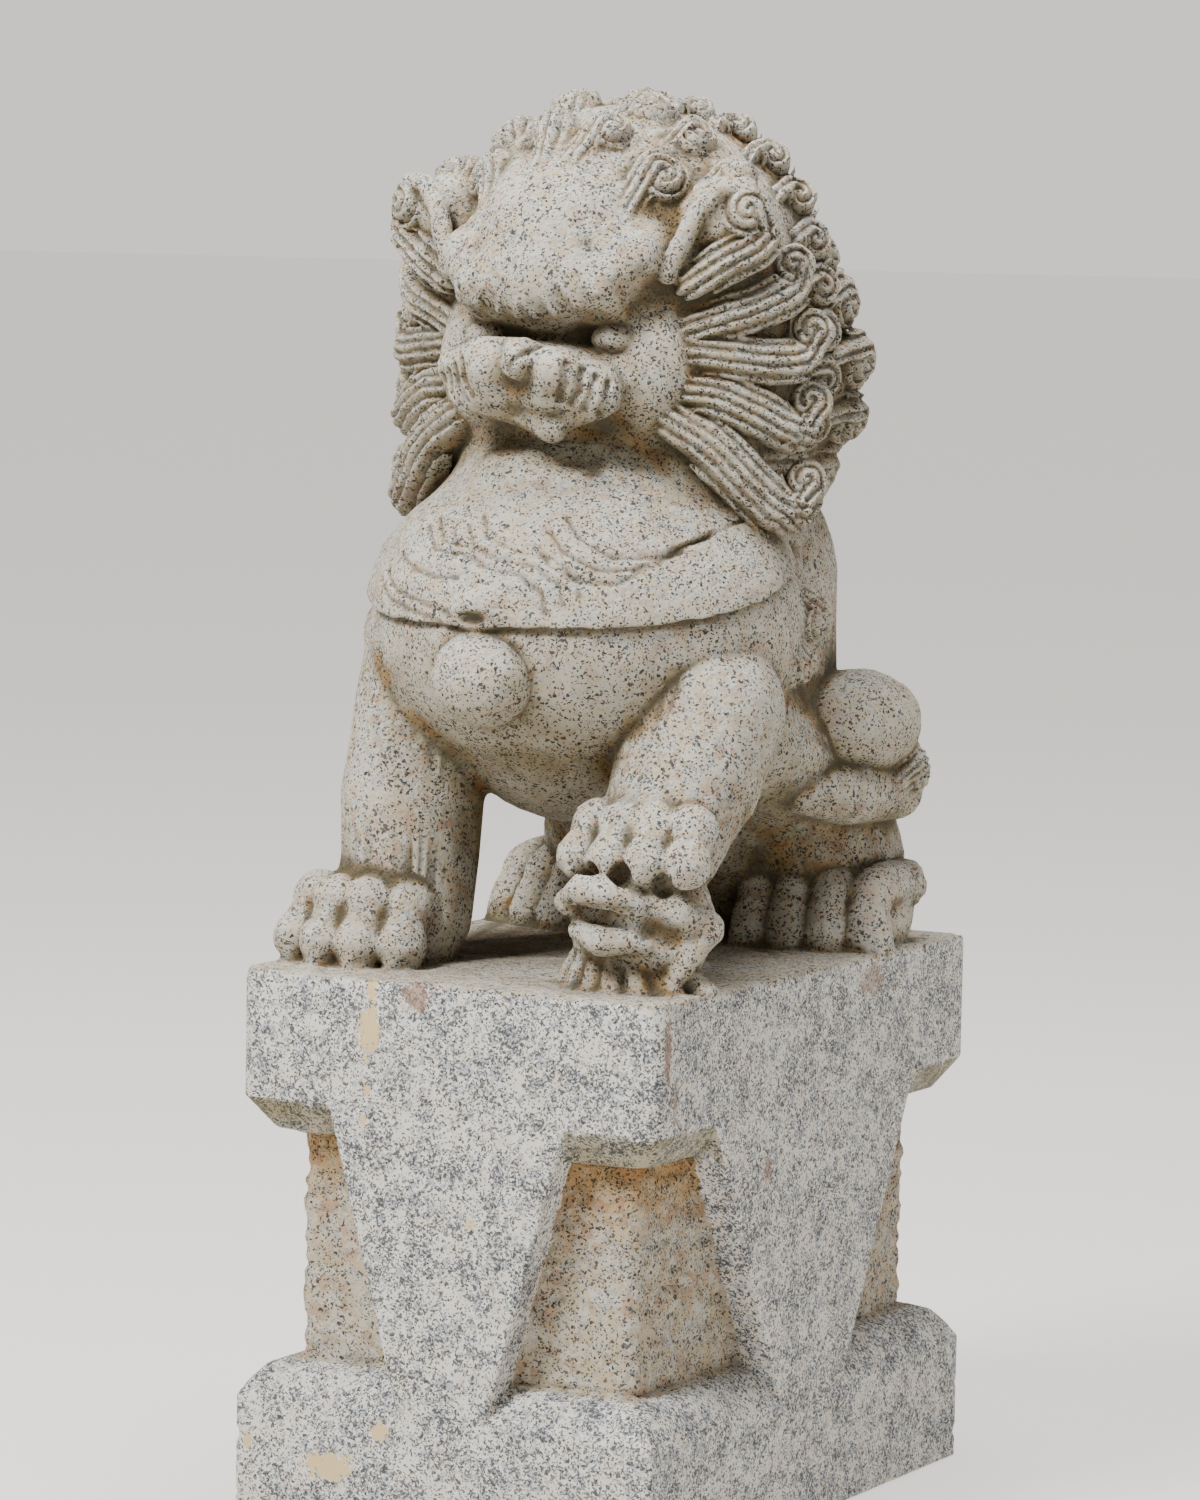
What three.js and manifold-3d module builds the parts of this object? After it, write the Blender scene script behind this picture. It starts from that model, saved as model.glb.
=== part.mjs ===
// A granite guardian lion carved in one block with its plinth.
// Millimetres, +Z up, the lion looks along -Y, and the origin is the middle of the underside.

import * as THREE from 'three';
import { mergeVertices } from 'three/addons/utils/BufferGeometryUtils.js';
import Module from 'manifold-3d';

// Driving sizes of the plinth

const PLINTH_WIDTH = 230;
const PLINTH_DEPTH = 330;
const PLINTH_HEIGHT = 272;
const HALF_WIDTH = PLINTH_WIDTH / 2;
const HALF_DEPTH = PLINTH_DEPTH / 2;

const BASE_SLAB_TOP = 63;
const TOP_BLOCK_BOTTOM = 209.5;
const WAIST_SETBACK = 22;

// The four sides share one profile behind the flush panels: setback from the face and height.
const SIDE_PROFILE = [
  { setback: 0, z: 0 },
  { setback: 0, z: BASE_SLAB_TOP },
  { setback: 5, z: 71 },
  { setback: 11, z: 78 },
  { setback: WAIST_SETBACK, z: 82 },
  { setback: WAIST_SETBACK, z: 190.5 },
  { setback: 11, z: 193.5 },
  { setback: 0, z: TOP_BLOCK_BOTTOM },
  { setback: 0, z: PLINTH_HEIGHT },
];

// Each face carries a flush panel that narrows downwards.
const PANEL_OVERLAP = 12;
const FRONT_PANEL = { topHalf: 65, bottomHalf: 24 };
const SIDE_PANEL = { topHalf: 107, bottomHalf: 33 };

// Driving sizes of the lion

const LION_TOP = 697;
const LION_HALF_WIDTH = 128;
const SINK = 8;
const MESH_STEP = 4.6;
const LION_TRIANGLES = 9350;

// How widely a form flows into the ones before it: a crease, a fold, a limb and the whole body
const CREASE = 3;
const FOLD = 6;
const LIMB = 12;
const BODY = 22;

// Head and mane

const MANE_CENTRE = [0, 12, 585];
const MANE_CROWN = { centre: [0, 0, 609], radii: [91, 73, 80] };
const MANE_BACK = { centre: [0, 44, 562], radii: [95, 72, 78] };
const MANE_RUFF = { centre: [0, -26, 582], radii: [100, 33, 94] };

const SKULL = { centre: [0, -30, 620], radii: [58, 58, 60] };
const FOREHEAD = { centre: [0, -56, 623], radii: [47, 46, 40] };
const BROW = { middle: [2, -88, 604], sag: [30, -87, 602], end: [47, -79, 616], radii: [16, 16, 11] };
const BROW_HOLLOW = { inner: [2, -99, 579], outer: [42, -94, 577], radii: [7, 7] };
const EYE_SOCKET = { centre: [37, -99, 580], radii: [17, 14, 11] };
const EYE = { centre: [35, -81, 577], radii: [10, 8, 6.5] };
const CHEEK = { centre: [44, -52, 564], radii: [27, 30, 36] };
const SNOUT = { centre: [0, -70, 556], radii: [46, 38, 21] };
const MUZZLE_RIM = {
  points: [[-42, -94, 562], [-20, -105, 568], [4, -108, 567], [22, -104, 563], [38, -93, 556]],
  radii: [9, 9, 9.5, 9, 8.5],
};
const NOSE = { centre: [4, -112, 567], radii: [8.5, 13, 10] };
const NOSTRILS = { centres: [[21, -109, 562], [-15, -109, 562]], radius: 10 };
const LIP_PAD = { inner: [14, -99, 553], outer: [32, -95, 551], radii: [13, 12] };
const LIP_EDGE = { left: [-32, -95, 549], tip: [13, -98, 534], right: [39, -92, 549], radius: 7,
  tipRadius: 5, middleRadius: 11 };
const MOUTH = { points: [[-33, -94, 536], [6, -98, 527], [32, -92, 525]], radii: [6, 10, 14] };
const JAW = { centre: [0, -72, 507], radii: [37, 29, 15] };
const THROAT = { centre: [0, -24, 520], radii: [60, 48, 44] };
const EAR_BODY = { centre: [76, -40, 636], radii: [20, 23, 20] };
const EAR_RIM = {
  points: [[60, -70, 608], [65, -68, 621], [72, -64, 638], [82, -59, 649], [93, -54, 650]],
  radius: 5.5,
};

// A lock leaves the cheek, sags, hooks up beside the eye of its spiral and curls round it.
// The first is the lock in the ear.
const FRONT_LOCKS = [
  { run: [[68, -60, 604], [82, -54, 614], [97, -46, 625]], eye: [93, -53, 639], width: 12, radius: 13 },
  { run: [[64, -56, 582], [80, -46, 588], [94, -37, 594], [104, -27, 602]], eye: [104, -26, 614],
    width: 12.5, radius: 10 },
  { run: [[64, -56, 571], [80, -47, 569], [97, -35, 567], [108, -24, 569]], eye: [111, -19, 583],
    width: 13, radius: 11 },
  { run: [[62, -57, 553], [78, -48, 550], [93, -38, 542], [106, -26, 535]], eye: [111, -19, 549],
    width: 14, radius: 11.5 },
  { run: [[60, -59, 538], [76, -51, 526], [92, -40, 507], [104, -29, 496]], eye: [110, -20, 511],
    width: 15, radius: 12.5 },
];
const LOCK_FACING = [0.55, -0.82, 0.1];
const LOCK_OFFSET = 0.8;
const LOCK_FLATNESS = 0.8;

// The width of a lock from its root to its end, as shares of its full width
const LOCK_TAPER = [0.75, 1, 0.95, 0.5];
const TUFT_TAPER = [0.7, 0.8];
const CROWN_CURL_TAPER = [0.5, 0.7];

// Curls on the crown, on both sides
const CROWN_CURLS = [
  { eye: [19, -54, 676], tail: [6, -82, 650], radius: 12 },
  { eye: [50, -58, 655], tail: [40, -82, 636], radius: 13 },
  { eye: [24, -23, 693], tail: [14, -38, 688], radius: 14 },
  { eye: [54, -30, 676], tail: [44, -44, 672], radius: 12 },
  { eye: [78, -34, 654], tail: [72, -48, 646], radius: 12 },
];
const CROWN_CURL_RISE = 3;
const CROWN_CURL_FLATNESS = 0.6;

// How far the eye and the tail of a crown curl are sunk, as shares of its radius
const EYE_SINK = 0.2;
const TAIL_SINK = 0.8;

// Curls behind the front locks sit in rings round the face axis. Angles are in degrees: tilt from the
// face axis, and turn round it from the lion's left through the top. A curl leans towards the front.
const CURL_RINGS = [
  { tilt: 97, from: -42, to: 222, count: 21, radius: 13, lean: 0.8 },
  { tilt: 115, from: -44, to: 224, count: 17, radius: 14, lean: 0.4 },
  { tilt: 133, from: -38, to: 218, count: 12, radius: 15, lean: 0 },
  { tilt: 151, from: -30, to: 210, count: 7, radius: 16, lean: 0 },
  { tilt: 168, from: 0, to: 180, count: 3, radius: 17, lean: 0 },
];
const CURL_RISE = 2;
const CURL_FLATNESS = 0.8;

// Body

const CHEST = { centre: [0, -50, 438], radii: [97, 89, 80] };
const SHOULDER = { centre: [72, -32, 438], radii: [37, 52, 54] };
const NECK = { centre: [0, 0, 500], radii: [78, 84, 60] };
const BACK = { points: [[0, 50, 450], [0, 78, 366]], radii: [84, 72] };
const FLANK = { points: [[60, 12, 382], [57, 88, 354]], radii: [32, 34] };
const BELLY = { centre: [0, -26, 388], radii: [70, 72, 50] };
const RUMP = { centre: [0, 104, 322], radii: [62, 46, 62] };

// The bib is the skin of the chest raised above a border that climbs towards the back
const BIB = { rise: 3.5, front: -146, low: 441, climb: 36, reach: 30 };
const BELL = { centre: [-1, -133, 416], radii: [25, 25, 23] };
const BUCKLE = { centre: [-2, -137, 449], radii: [14, 9, 11] };
const TAIL = { centre: [0, 134, 400], radii: [34, 20, 82] };
const TAIL_CURLS = { count: 3, low: 372, gap: 34, aside: 19, back: 144, radius: 15 };

// Forelegs: the lion's right one stands, its left one rests on a cub's head.
const RIGHT_FORELEG = { points: [[-70, -64, 420], [-71, -80, 350], [-69, -88, 295]], radii: [34, 35, 32] };
const LEFT_FORELEG = { points: [[80, -60, 400], [79, -75, 372], [77, -96, 342]], radii: [38, 36, 30] };
const SHOULDER_TUFTS = [
  { root: [-88, -62, 448], tip: [-100, -66, 430], width: 10 },
  { root: [92, -16, 462], tip: [102, 4, 441], width: 11 },
  { root: [90, -30, 446], tip: [103, -12, 419], width: 10 },
  { root: [-92, -10, 458], tip: [-103, 6, 436], width: 11 },
];

// A toe has a knuckle above and in from its tip. The toes lie on a bow across the paw.
const FOREPAW_TOES = 4;
const RIGHT_PAW = { heel: [-76, -94, 290], heelRadius: 31, spread: 29, bow: 9,
  tip: [-79, -124, 283], knuckle: [-80, -110, 302], tipRadius: 12, knuckleRadius: 13 };
const LEFT_PAW = { heel: [77, -100, 342], heelRadius: 27, spread: 29, bow: 5,
  tip: [79, -128, 334], knuckle: [78, -114, 348], tipRadius: 11, knuckleRadius: 13 };
const KNUCKLE_SPREAD = 0.86;

// Radii where a toe leaves the heel and where it leaves its knuckle, as shares of theirs
const TOE_ROOT = 0.6;
const TOE_WAIST = 0.8;

const CUB_HEAD = { centre: [76, -112, 303], radii: [36, 28, 34] };
const CUB_BEARD = { locks: 7, top: [70, -126, 292], topSpread: 18, topSweep: 8,
  foot: [74, -136, 272], footSpread: 38, footSweep: 22, radii: [6.5, 5.9] };
const CUB_CHEEK = { points: [[93, -131, 317], [104, -125, 310], [112, -113, 303]], radii: [5, 8, 7] };
const CUB_UPPER_LIP = {
  points: [[50, -136, 317], [62, -144, 321], [75, -145, 320], [87, -139, 314]],
  radii: [5, 8, 8, 5],
};
const CUB_LOWER_LIP = { points: [[55, -138, 300], [72, -145, 297], [90, -137, 297]], radii: [4.5, 7, 5] };
const CUB_JOWL = { points: [[112, -113, 303], [107, -121, 291], [101, -126, 279]], radii: [7, 6.5, 5] };
const CUB_NOSTRIL = { centre: [48, -132, 313], radius: 7 };
const CUB_MOUTH = { points: [[58, -147, 311], [74, -151, 311], [88, -146, 310]], radius: 4.2 };
const CUB_CHEEK_HOLLOW = { points: [[94, -138, 304], [103, -133, 299]], radius: 6 };

// Hindquarters

const LEG_CORE = { centre: [60, 104, 336], radii: [32, 46, 60] };
const THIGH = { centre: [83, 92, 384], radii: [32, 43, 27] };
const CALF = { points: [[78, 42, 354], [88, 74, 352], [91, 122, 348]], radii: [12, 18, 15] };
const SHIN = { centre: [72, 112, 312], radii: [25, 38, 30] };
const HIND_FOOT = { centre: [72, 98, 284], radii: [38, 36, 25] };
const HOCK_TUFT = { root: [96, 92, 350], tip: [103, 120, 358], width: 11, facing: [1, 0.3, 0] };
const HEEL_CURL = { root: [96, 104, 292], tip: [102, 124, 300], width: 9, facing: [1, 0.4, 0.3] };
const HIND_HEEL = { centre: [84, 110, 288], radius: 22 };

// The hind toes stand in a row, bowed forwards. Each runs through points given by how far they lie to
// the side of and behind its place in the row, and by their height.
const HIND_TOES = { count: 4, first: [46, 64], last: [101, 78], bow: 4 };
const HIND_TOE = { path: [[-4, 46, 301], [-2, 10, 301], [0, 0, 292], [1, -4, 278]], radii: [12, 12, 11, 14] };

// Vector helpers

const add = (a, b) => [a[0] + b[0], a[1] + b[1], a[2] + b[2]];
const sub = (a, b) => [a[0] - b[0], a[1] - b[1], a[2] - b[2]];
const scale = (a, s) => [a[0] * s, a[1] * s, a[2] * s];
const dot = (a, b) => a[0] * b[0] + a[1] * b[1] + a[2] * b[2];
const cross = (a, b) => [
  a[1] * b[2] - a[2] * b[1],
  a[2] * b[0] - a[0] * b[2],
  a[0] * b[1] - a[1] * b[0],
];
const unit = (a) => scale(a, 1 / Math.hypot(...a));
const mix = (a, b, t) => add(scale(a, 1 - t), scale(b, t));
const same = (a) => a;
const mirrored = (a) => [-a[0], a[1], a[2]];
const SIDES = [same, mirrored];
const radians = (degrees) => (degrees * Math.PI) / 180;

// Solid forms as distance functions, each with the ball that holds it

function ellipsoid(centre, radii) {
  const smallest = Math.min(...radii);
  return {
    centre,
    reach: Math.max(...radii),
    distance: (x, y, z) => {
      const px = (x - centre[0]) / radii[0];
      const py = (y - centre[1]) / radii[1];
      const pz = (z - centre[2]) / radii[2];
      const qx = px / radii[0];
      const qy = py / radii[1];
      const qz = pz / radii[2];
      const k0 = Math.sqrt(px * px + py * py + pz * pz);
      const k1 = Math.sqrt(qx * qx + qy * qy + qz * qz);
      return k1 > 0 ? (k0 * (k0 - 1)) / k1 : -smallest;
    },
  };
}

function ball(centre, radius) {
  return ellipsoid(centre, [radius, radius, radius]);
}

// A disc-like ball, flattened along its axis
function button(centre, radius, axis, flatness) {
  return {
    centre,
    reach: radius,
    distance: (x, y, z) => {
      const d = [x - centre[0], y - centre[1], z - centre[2]];
      const along = dot(d, axis);
      const across2 = Math.max(dot(d, d) - along * along, 0);
      const length = Math.sqrt(across2 + (along / flatness) ** 2);
      return (length - radius) * flatness;
    },
  };
}

// A limb runs through its points, with the radius changing evenly between them
function limb(points, pointRadii) {
  const low = [0, 1, 2].map((i) => Math.min(...points.map((p) => p[i])));
  const high = [0, 1, 2].map((i) => Math.max(...points.map((p) => p[i])));
  const centre = scale(add(low, high), 0.5);
  const reach = Math.hypot(...sub(high, low)) / 2 + Math.max(...pointRadii);
  return {
    centre,
    reach,
    distance: (x, y, z) => {
      let nearest = Infinity;
      for (let i = 0; i + 1 < points.length; i += 1) {
        const a = points[i];
        const ab = sub(points[i + 1], a);
        const ap = [x - a[0], y - a[1], z - a[2]];
        const t = Math.min(Math.max(dot(ap, ab) / dot(ab, ab), 0), 1);
        const gap = Math.hypot(ap[0] - ab[0] * t, ap[1] - ab[1] * t, ap[2] - ab[2] * t);
        nearest = Math.min(nearest, gap - (pointRadii[i] * (1 - t) + pointRadii[i + 1] * t));
      }
      return nearest;
    },
  };
}

// The points of a smooth curve through all the given ones
const CURVE_STEPS = 4;

function curved(points) {
  const last = points.length - 1;
  const before = sub(scale(points[0], 2), points[1]);
  const after = sub(scale(points[last], 2), points[last - 1]);
  const ends = [before, ...points, after];
  const path = new THREE.CatmullRomCurve3(ends.map((p) => new THREE.Vector3(...p)), false, 'catmullrom');
  const spans = ends.length - 1;
  const dense = [];
  for (let i = CURVE_STEPS; i <= (spans - 1) * CURVE_STEPS; i += 1) {
    dense.push(path.getPoint(i / (spans * CURVE_STEPS)).toArray());
  }
  return dense;
}

// Values spread evenly along a run of so many points, worked out for the points of its curve
function spreadOut(values, count) {
  const last = (count - 1) * CURVE_STEPS;
  return Array.from({ length: last + 1 }, (_, i) => {
    const place = (i / last) * (values.length - 1);
    const from = Math.min(Math.floor(place), values.length - 2);
    return values[from] + (values[from + 1] - values[from]) * (place - from);
  });
}

function smoothMin(a, b, k) {
  const h = Math.max(k - Math.abs(a - b), 0) / k;
  return Math.min(a, b) - (h * h * k) / 4;
}

const smoothMax = (a, b, k) => -smoothMin(-a, -b, k);

// The sculpture is a list of steps: each adds or takes away a form with its own blend
const steps = [];
const place = (form, blend) => steps.push({ form, blend, cut: false });
const carve = (form, blend) => steps.push({ form, blend, cut: true });

function placePair(make, blend) {
  for (const side of SIDES) place(make(side), blend);
}

function carvePair(make, blend) {
  for (const side of SIDES) carve(make(side), blend);
}

// A run of points with one radius, or with a radius for each point
const run = ({ points, radius, radii }, side = same) => (
  limb(points.map(side), radii ?? points.map(() => radius)));

function fieldAt(x, y, z) {
  let value = Infinity;
  for (const { form, blend, cut } of steps) {
    const away = Math.hypot(x - form.centre[0], y - form.centre[1], z - form.centre[2]) - form.reach;
    if (cut) {
      if (away < blend) value = smoothMax(value, -form.distance(x, y, z), blend);
    } else if (away < value + blend) {
      value = value === Infinity ? form.distance(x, y, z) : smoothMin(value, form.distance(x, y, z), blend);
    }
  }
  return value;
}

// The point of the surface nearest to a point, and the direction outwards there
const SLOPE_REACH = 1.5;
const SETTLE_ROUNDS = 6;

function onSurface(point) {
  let at = point;
  let outwards = [0, 0, 1];
  for (let round = 0; round < SETTLE_ROUNDS; round += 1) {
    outwards = unit([0, 1, 2].map((i) => {
      const offset = [0, 1, 2].map((k) => (k === i ? SLOPE_REACH : 0));
      return fieldAt(...add(at, offset)) - fieldAt(...sub(at, offset));
    }));
    at = sub(at, scale(outwards, fieldAt(...at)));
  }
  return { point: at, outwards };
}

// A lock of hair along its points, which passes the last one on one side and curls round it
function addLock(points, widths, radius, facing, hand, flatness, blend) {
  const eye = points[points.length - 1];
  const forwards = sub(eye, points[points.length - 2]);
  const axis = unit(facing);
  const ahead = unit(sub(forwards, scale(axis, dot(forwards, axis))));
  const aside = scale(cross(axis, ahead), hand);
  const end = add(eye, scale(aside, widths[widths.length - 1] * LOCK_OFFSET));
  place(limb(curved([...points.slice(0, -1), end]), spreadOut(widths, points.length)), blend);
  place(button(eye, radius, axis, flatness), blend);
}

function addTuft({ root, tip, width }, facing, side = same) {
  const end = side(tip);
  const hand = end[0] > 0 ? 1 : -1;
  const widths = TUFT_TAPER.map((share) => share * width);
  addLock([side(root), end], widths, width, side(facing), hand, LOCK_FLATNESS, FOLD);
}

// Mane

const maneForms = [MANE_CROWN, MANE_BACK, MANE_RUFF].map(({ centre, radii }) => ellipsoid(centre, radii));
const maneDistance = (p) => maneForms
  .map((form) => form.distance(...p))
  .reduce((a, b) => smoothMin(a, b, BODY));

// The point of the mane's surface in the direction of a tilt and a turn, with the direction outwards
const BISECTIONS = 24;
const BEYOND_MANE = 200;

function onMane(tilt, turn) {
  const a = radians(tilt);
  const b = radians(turn);
  const outwards = [Math.sin(a) * Math.cos(b), -Math.cos(a), Math.sin(a) * Math.sin(b)];
  let inner = 0;
  let outer = BEYOND_MANE;
  for (let i = 0; i < BISECTIONS; i += 1) {
    const middle = (inner + outer) / 2;
    if (maneDistance(add(MANE_CENTRE, scale(outwards, middle))) < 0) inner = middle;
    else outer = middle;
  }
  return { point: add(MANE_CENTRE, scale(outwards, inner)), outwards };
}

function addMane() {
  for (const form of maneForms) place(form, BODY);
  for (const ring of CURL_RINGS) {
    for (let i = 0; i < ring.count; i += 1) {
      const turn = ring.from + ((ring.to - ring.from) * i) / (ring.count - 1);
      const { point, outwards } = onMane(ring.tilt, turn);
      const facing = unit(sub(outwards, [0, ring.lean, 0]));
      place(button(add(point, scale(outwards, CURL_RISE)), ring.radius, facing, CURL_FLATNESS), CREASE);
    }
  }
}

function addCrownCurls() {
  for (const side of SIDES) {
    for (const { eye, tail, radius } of CROWN_CURLS) {
      const { point, outwards } = onSurface(side(eye));
      const centre = add(point, scale(outwards, CROWN_CURL_RISE - radius * EYE_SINK));
      const root = add(onSurface(side(tail)).point, scale(outwards, CROWN_CURL_RISE - radius * TAIL_SINK));
      const hand = centre[0] > 0 ? 1 : -1;
      const widths = CROWN_CURL_TAPER.map((share) => share * radius);
      addLock([root, centre], widths, radius, outwards, hand, CROWN_CURL_FLATNESS, CREASE);
    }
  }
}

function addFrontLocks() {
  for (const side of SIDES) {
    for (const { run: path, eye, width, radius } of FRONT_LOCKS) {
      const hand = side(eye)[0] > 0 ? -1 : 1;
      const widths = LOCK_TAPER.map((share) => share * width);
      addLock([...path, eye].map(side), widths, radius, side(LOCK_FACING), hand, LOCK_FLATNESS, CREASE);
    }
  }
}

// Head

function addHead() {
  place(ellipsoid(SKULL.centre, SKULL.radii), LIMB);
  place(ellipsoid(FOREHEAD.centre, FOREHEAD.radii), LIMB);
  place(ellipsoid(THROAT.centre, THROAT.radii), LIMB);
  place(ellipsoid(SNOUT.centre, SNOUT.radii), LIMB);
  placePair((side) => ellipsoid(side(CHEEK.centre), CHEEK.radii), LIMB);
  placePair((side) => limb([BROW.middle, side(BROW.sag), side(BROW.end)], BROW.radii), LIMB);
  carvePair((side) => limb([BROW_HOLLOW.inner, side(BROW_HOLLOW.outer)], BROW_HOLLOW.radii), CREASE);
  carvePair((side) => ellipsoid(side(EYE_SOCKET.centre), EYE_SOCKET.radii), CREASE);
  placePair((side) => ellipsoid(side(EYE.centre), EYE.radii), CREASE);
  place(ellipsoid(JAW.centre, JAW.radii), FOLD);
  for (const centre of NOSTRILS.centres) place(ball(centre, NOSTRILS.radius), FOLD);
  placePair((side) => limb([side(LIP_PAD.inner), side(LIP_PAD.outer)], LIP_PAD.radii), FOLD);
  place(run(MUZZLE_RIM), FOLD);
  place(ellipsoid(NOSE.centre, NOSE.radii), CREASE);
  carve(run(MOUTH), CREASE);
  const { left, tip, right, radius, tipRadius, middleRadius } = LIP_EDGE;
  place(limb([left, tip], [radius, tipRadius]), FOLD);
  place(limb([right, tip], [radius, tipRadius]), FOLD);
  place(limb([mix(left, right, 0.5), tip], [middleRadius, tipRadius]), FOLD);
}

function addEars() {
  placePair((side) => ellipsoid(side(EAR_BODY.centre), EAR_BODY.radii), FOLD);
  placePair((side) => run(EAR_RIM, side), CREASE);
}

// Body

function bibOver(forms) {
  const skin = (x, y, z) => forms.map((form) => form.distance(x, y, z)).reduce((a, b) => smoothMin(a, b, BODY));
  return {
    centre: CHEST.centre,
    reach: Math.max(...CHEST.radii) + BIB.reach,
    distance: (x, y, z) => {
      const back = (y - BIB.front) / -BIB.front;
      const border = BIB.low + BIB.climb * back * back;
      return smoothMax(skin(x, y, z) - BIB.rise, border - z, CREASE);
    },
  };
}

function addBody() {
  const chestForms = [
    ellipsoid(CHEST.centre, CHEST.radii),
    ellipsoid(SHOULDER.centre, SHOULDER.radii),
    ellipsoid(mirrored(SHOULDER.centre), SHOULDER.radii),
  ];
  for (const form of chestForms) place(form, BODY);
  place(bibOver(chestForms), CREASE);
  place(ellipsoid(NECK.centre, NECK.radii), BODY);
  place(run(BACK), BODY);
  placePair((side) => run(FLANK, side), LIMB);
  place(ellipsoid(BELLY.centre, BELLY.radii), LIMB);
  place(ellipsoid(RUMP.centre, RUMP.radii), BODY);
  place(ellipsoid(TAIL.centre, TAIL.radii), LIMB);
  for (let i = 0; i < TAIL_CURLS.count; i += 1) {
    const z = TAIL_CURLS.low + i * TAIL_CURLS.gap;
    placePair((side) => ball(side([TAIL_CURLS.aside, TAIL_CURLS.back, z]), TAIL_CURLS.radius), FOLD);
  }
}

function addBibDetails() {
  place(ellipsoid(BUCKLE.centre, BUCKLE.radii), CREASE);
  place(ellipsoid(BELL.centre, BELL.radii), CREASE);
}

// The place from -1 to 1 of one of a row of things
const acrossRow = (i, count) => (i / (count - 1)) * 2 - 1;

function addPaw(paw) {
  place(ball(paw.heel, paw.heelRadius), LIMB);
  for (let i = 0; i < FOREPAW_TOES; i += 1) {
    const across = acrossRow(i, FOREPAW_TOES);
    const bow = -paw.bow * (1 - across * across);
    const knuckle = add(paw.knuckle, [across * paw.spread * KNUCKLE_SPREAD, bow, 0]);
    const tip = add(paw.tip, [across * paw.spread, bow, 0]);
    place(limb([paw.heel, knuckle], [paw.heelRadius * TOE_ROOT, paw.knuckleRadius]), CREASE);
    place(limb([knuckle, tip], [paw.knuckleRadius * TOE_WAIST, paw.tipRadius]), CREASE);
  }
}

function addForelegs() {
  place(run(RIGHT_FORELEG), FOLD);
  place(run(LEFT_FORELEG), CREASE);
  for (const tuft of SHOULDER_TUFTS) addTuft(tuft, [tuft.tip[0], 0, 0]);
}

function addCub() {
  place(ellipsoid(CUB_HEAD.centre, CUB_HEAD.radii), FOLD);
  const { locks, top, topSpread, topSweep, foot, footSpread, footSweep, radii } = CUB_BEARD;
  for (let i = 0; i < locks; i += 1) {
    const across = acrossRow(i, locks);
    const back = across * across;
    const root = add(top, [across * topSpread, back * topSweep, 0]);
    const end = add(foot, [across * footSpread, back * footSweep, 0]);
    place(limb([root, end], radii), CREASE);
  }
  for (const feature of [CUB_CHEEK, CUB_UPPER_LIP, CUB_LOWER_LIP, CUB_JOWL]) place(run(feature), CREASE);
  place(ball(CUB_NOSTRIL.centre, CUB_NOSTRIL.radius), CREASE);
  carve(run(CUB_MOUTH), CREASE);
  carve(run(CUB_CHEEK_HOLLOW), CREASE);
}

function addHindquarters() {
  placePair((side) => ellipsoid(side(LEG_CORE.centre), LEG_CORE.radii), LIMB);
  placePair((side) => ellipsoid(side(SHIN.centre), SHIN.radii), FOLD);
  placePair((side) => ellipsoid(side(THIGH.centre), THIGH.radii), CREASE);
  placePair((side) => limb(curved(CALF.points.map(side)), spreadOut(CALF.radii, CALF.points.length)), CREASE);
  placePair((side) => ellipsoid(side(HIND_FOOT.centre), HIND_FOOT.radii), FOLD);
  placePair((side) => ball(side(HIND_HEEL.centre), HIND_HEEL.radius), FOLD);
  for (const side of SIDES) {
    addTuft(HOCK_TUFT, HOCK_TUFT.facing, side);
    addTuft(HEEL_CURL, HEEL_CURL.facing, side);
  }
  const { count, first, last, bow } = HIND_TOES;
  for (let i = 0; i < count; i += 1) {
    const across = acrossRow(i, count);
    const t = (1 + across) / 2;
    const x = first[0] + (last[0] - first[0]) * t;
    const y = first[1] + (last[1] - first[1]) * t - bow * (1 - across * across);
    const toe = HIND_TOE.path.map(([aside, behind, z]) => [x + aside, y + behind, z]);
    placePair((side) => limb(curved(toe.map(side)), spreadOut(HIND_TOE.radii, toe.length)), CREASE);
  }
}

addMane();
addBody();
addHindquarters();
addForelegs();
addBibDetails();
addCub();
addPaw(RIGHT_PAW);
addPaw(LEFT_PAW);
addHead();
addEars();
addCrownCurls();
addFrontLocks();

// Surface of the field, by splitting each cell of a grid into six tetrahedra

const NEVER_ZERO = 1e-3;
const CELL_CORNERS = [0, 1, 2, 3, 4, 5, 6, 7];
const CELL_TETRAHEDRA = [
  [0, 1, 3, 7],
  [0, 3, 2, 7],
  [0, 2, 6, 7],
  [0, 6, 4, 7],
  [0, 4, 5, 7],
  [0, 5, 1, 7],
];

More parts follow.
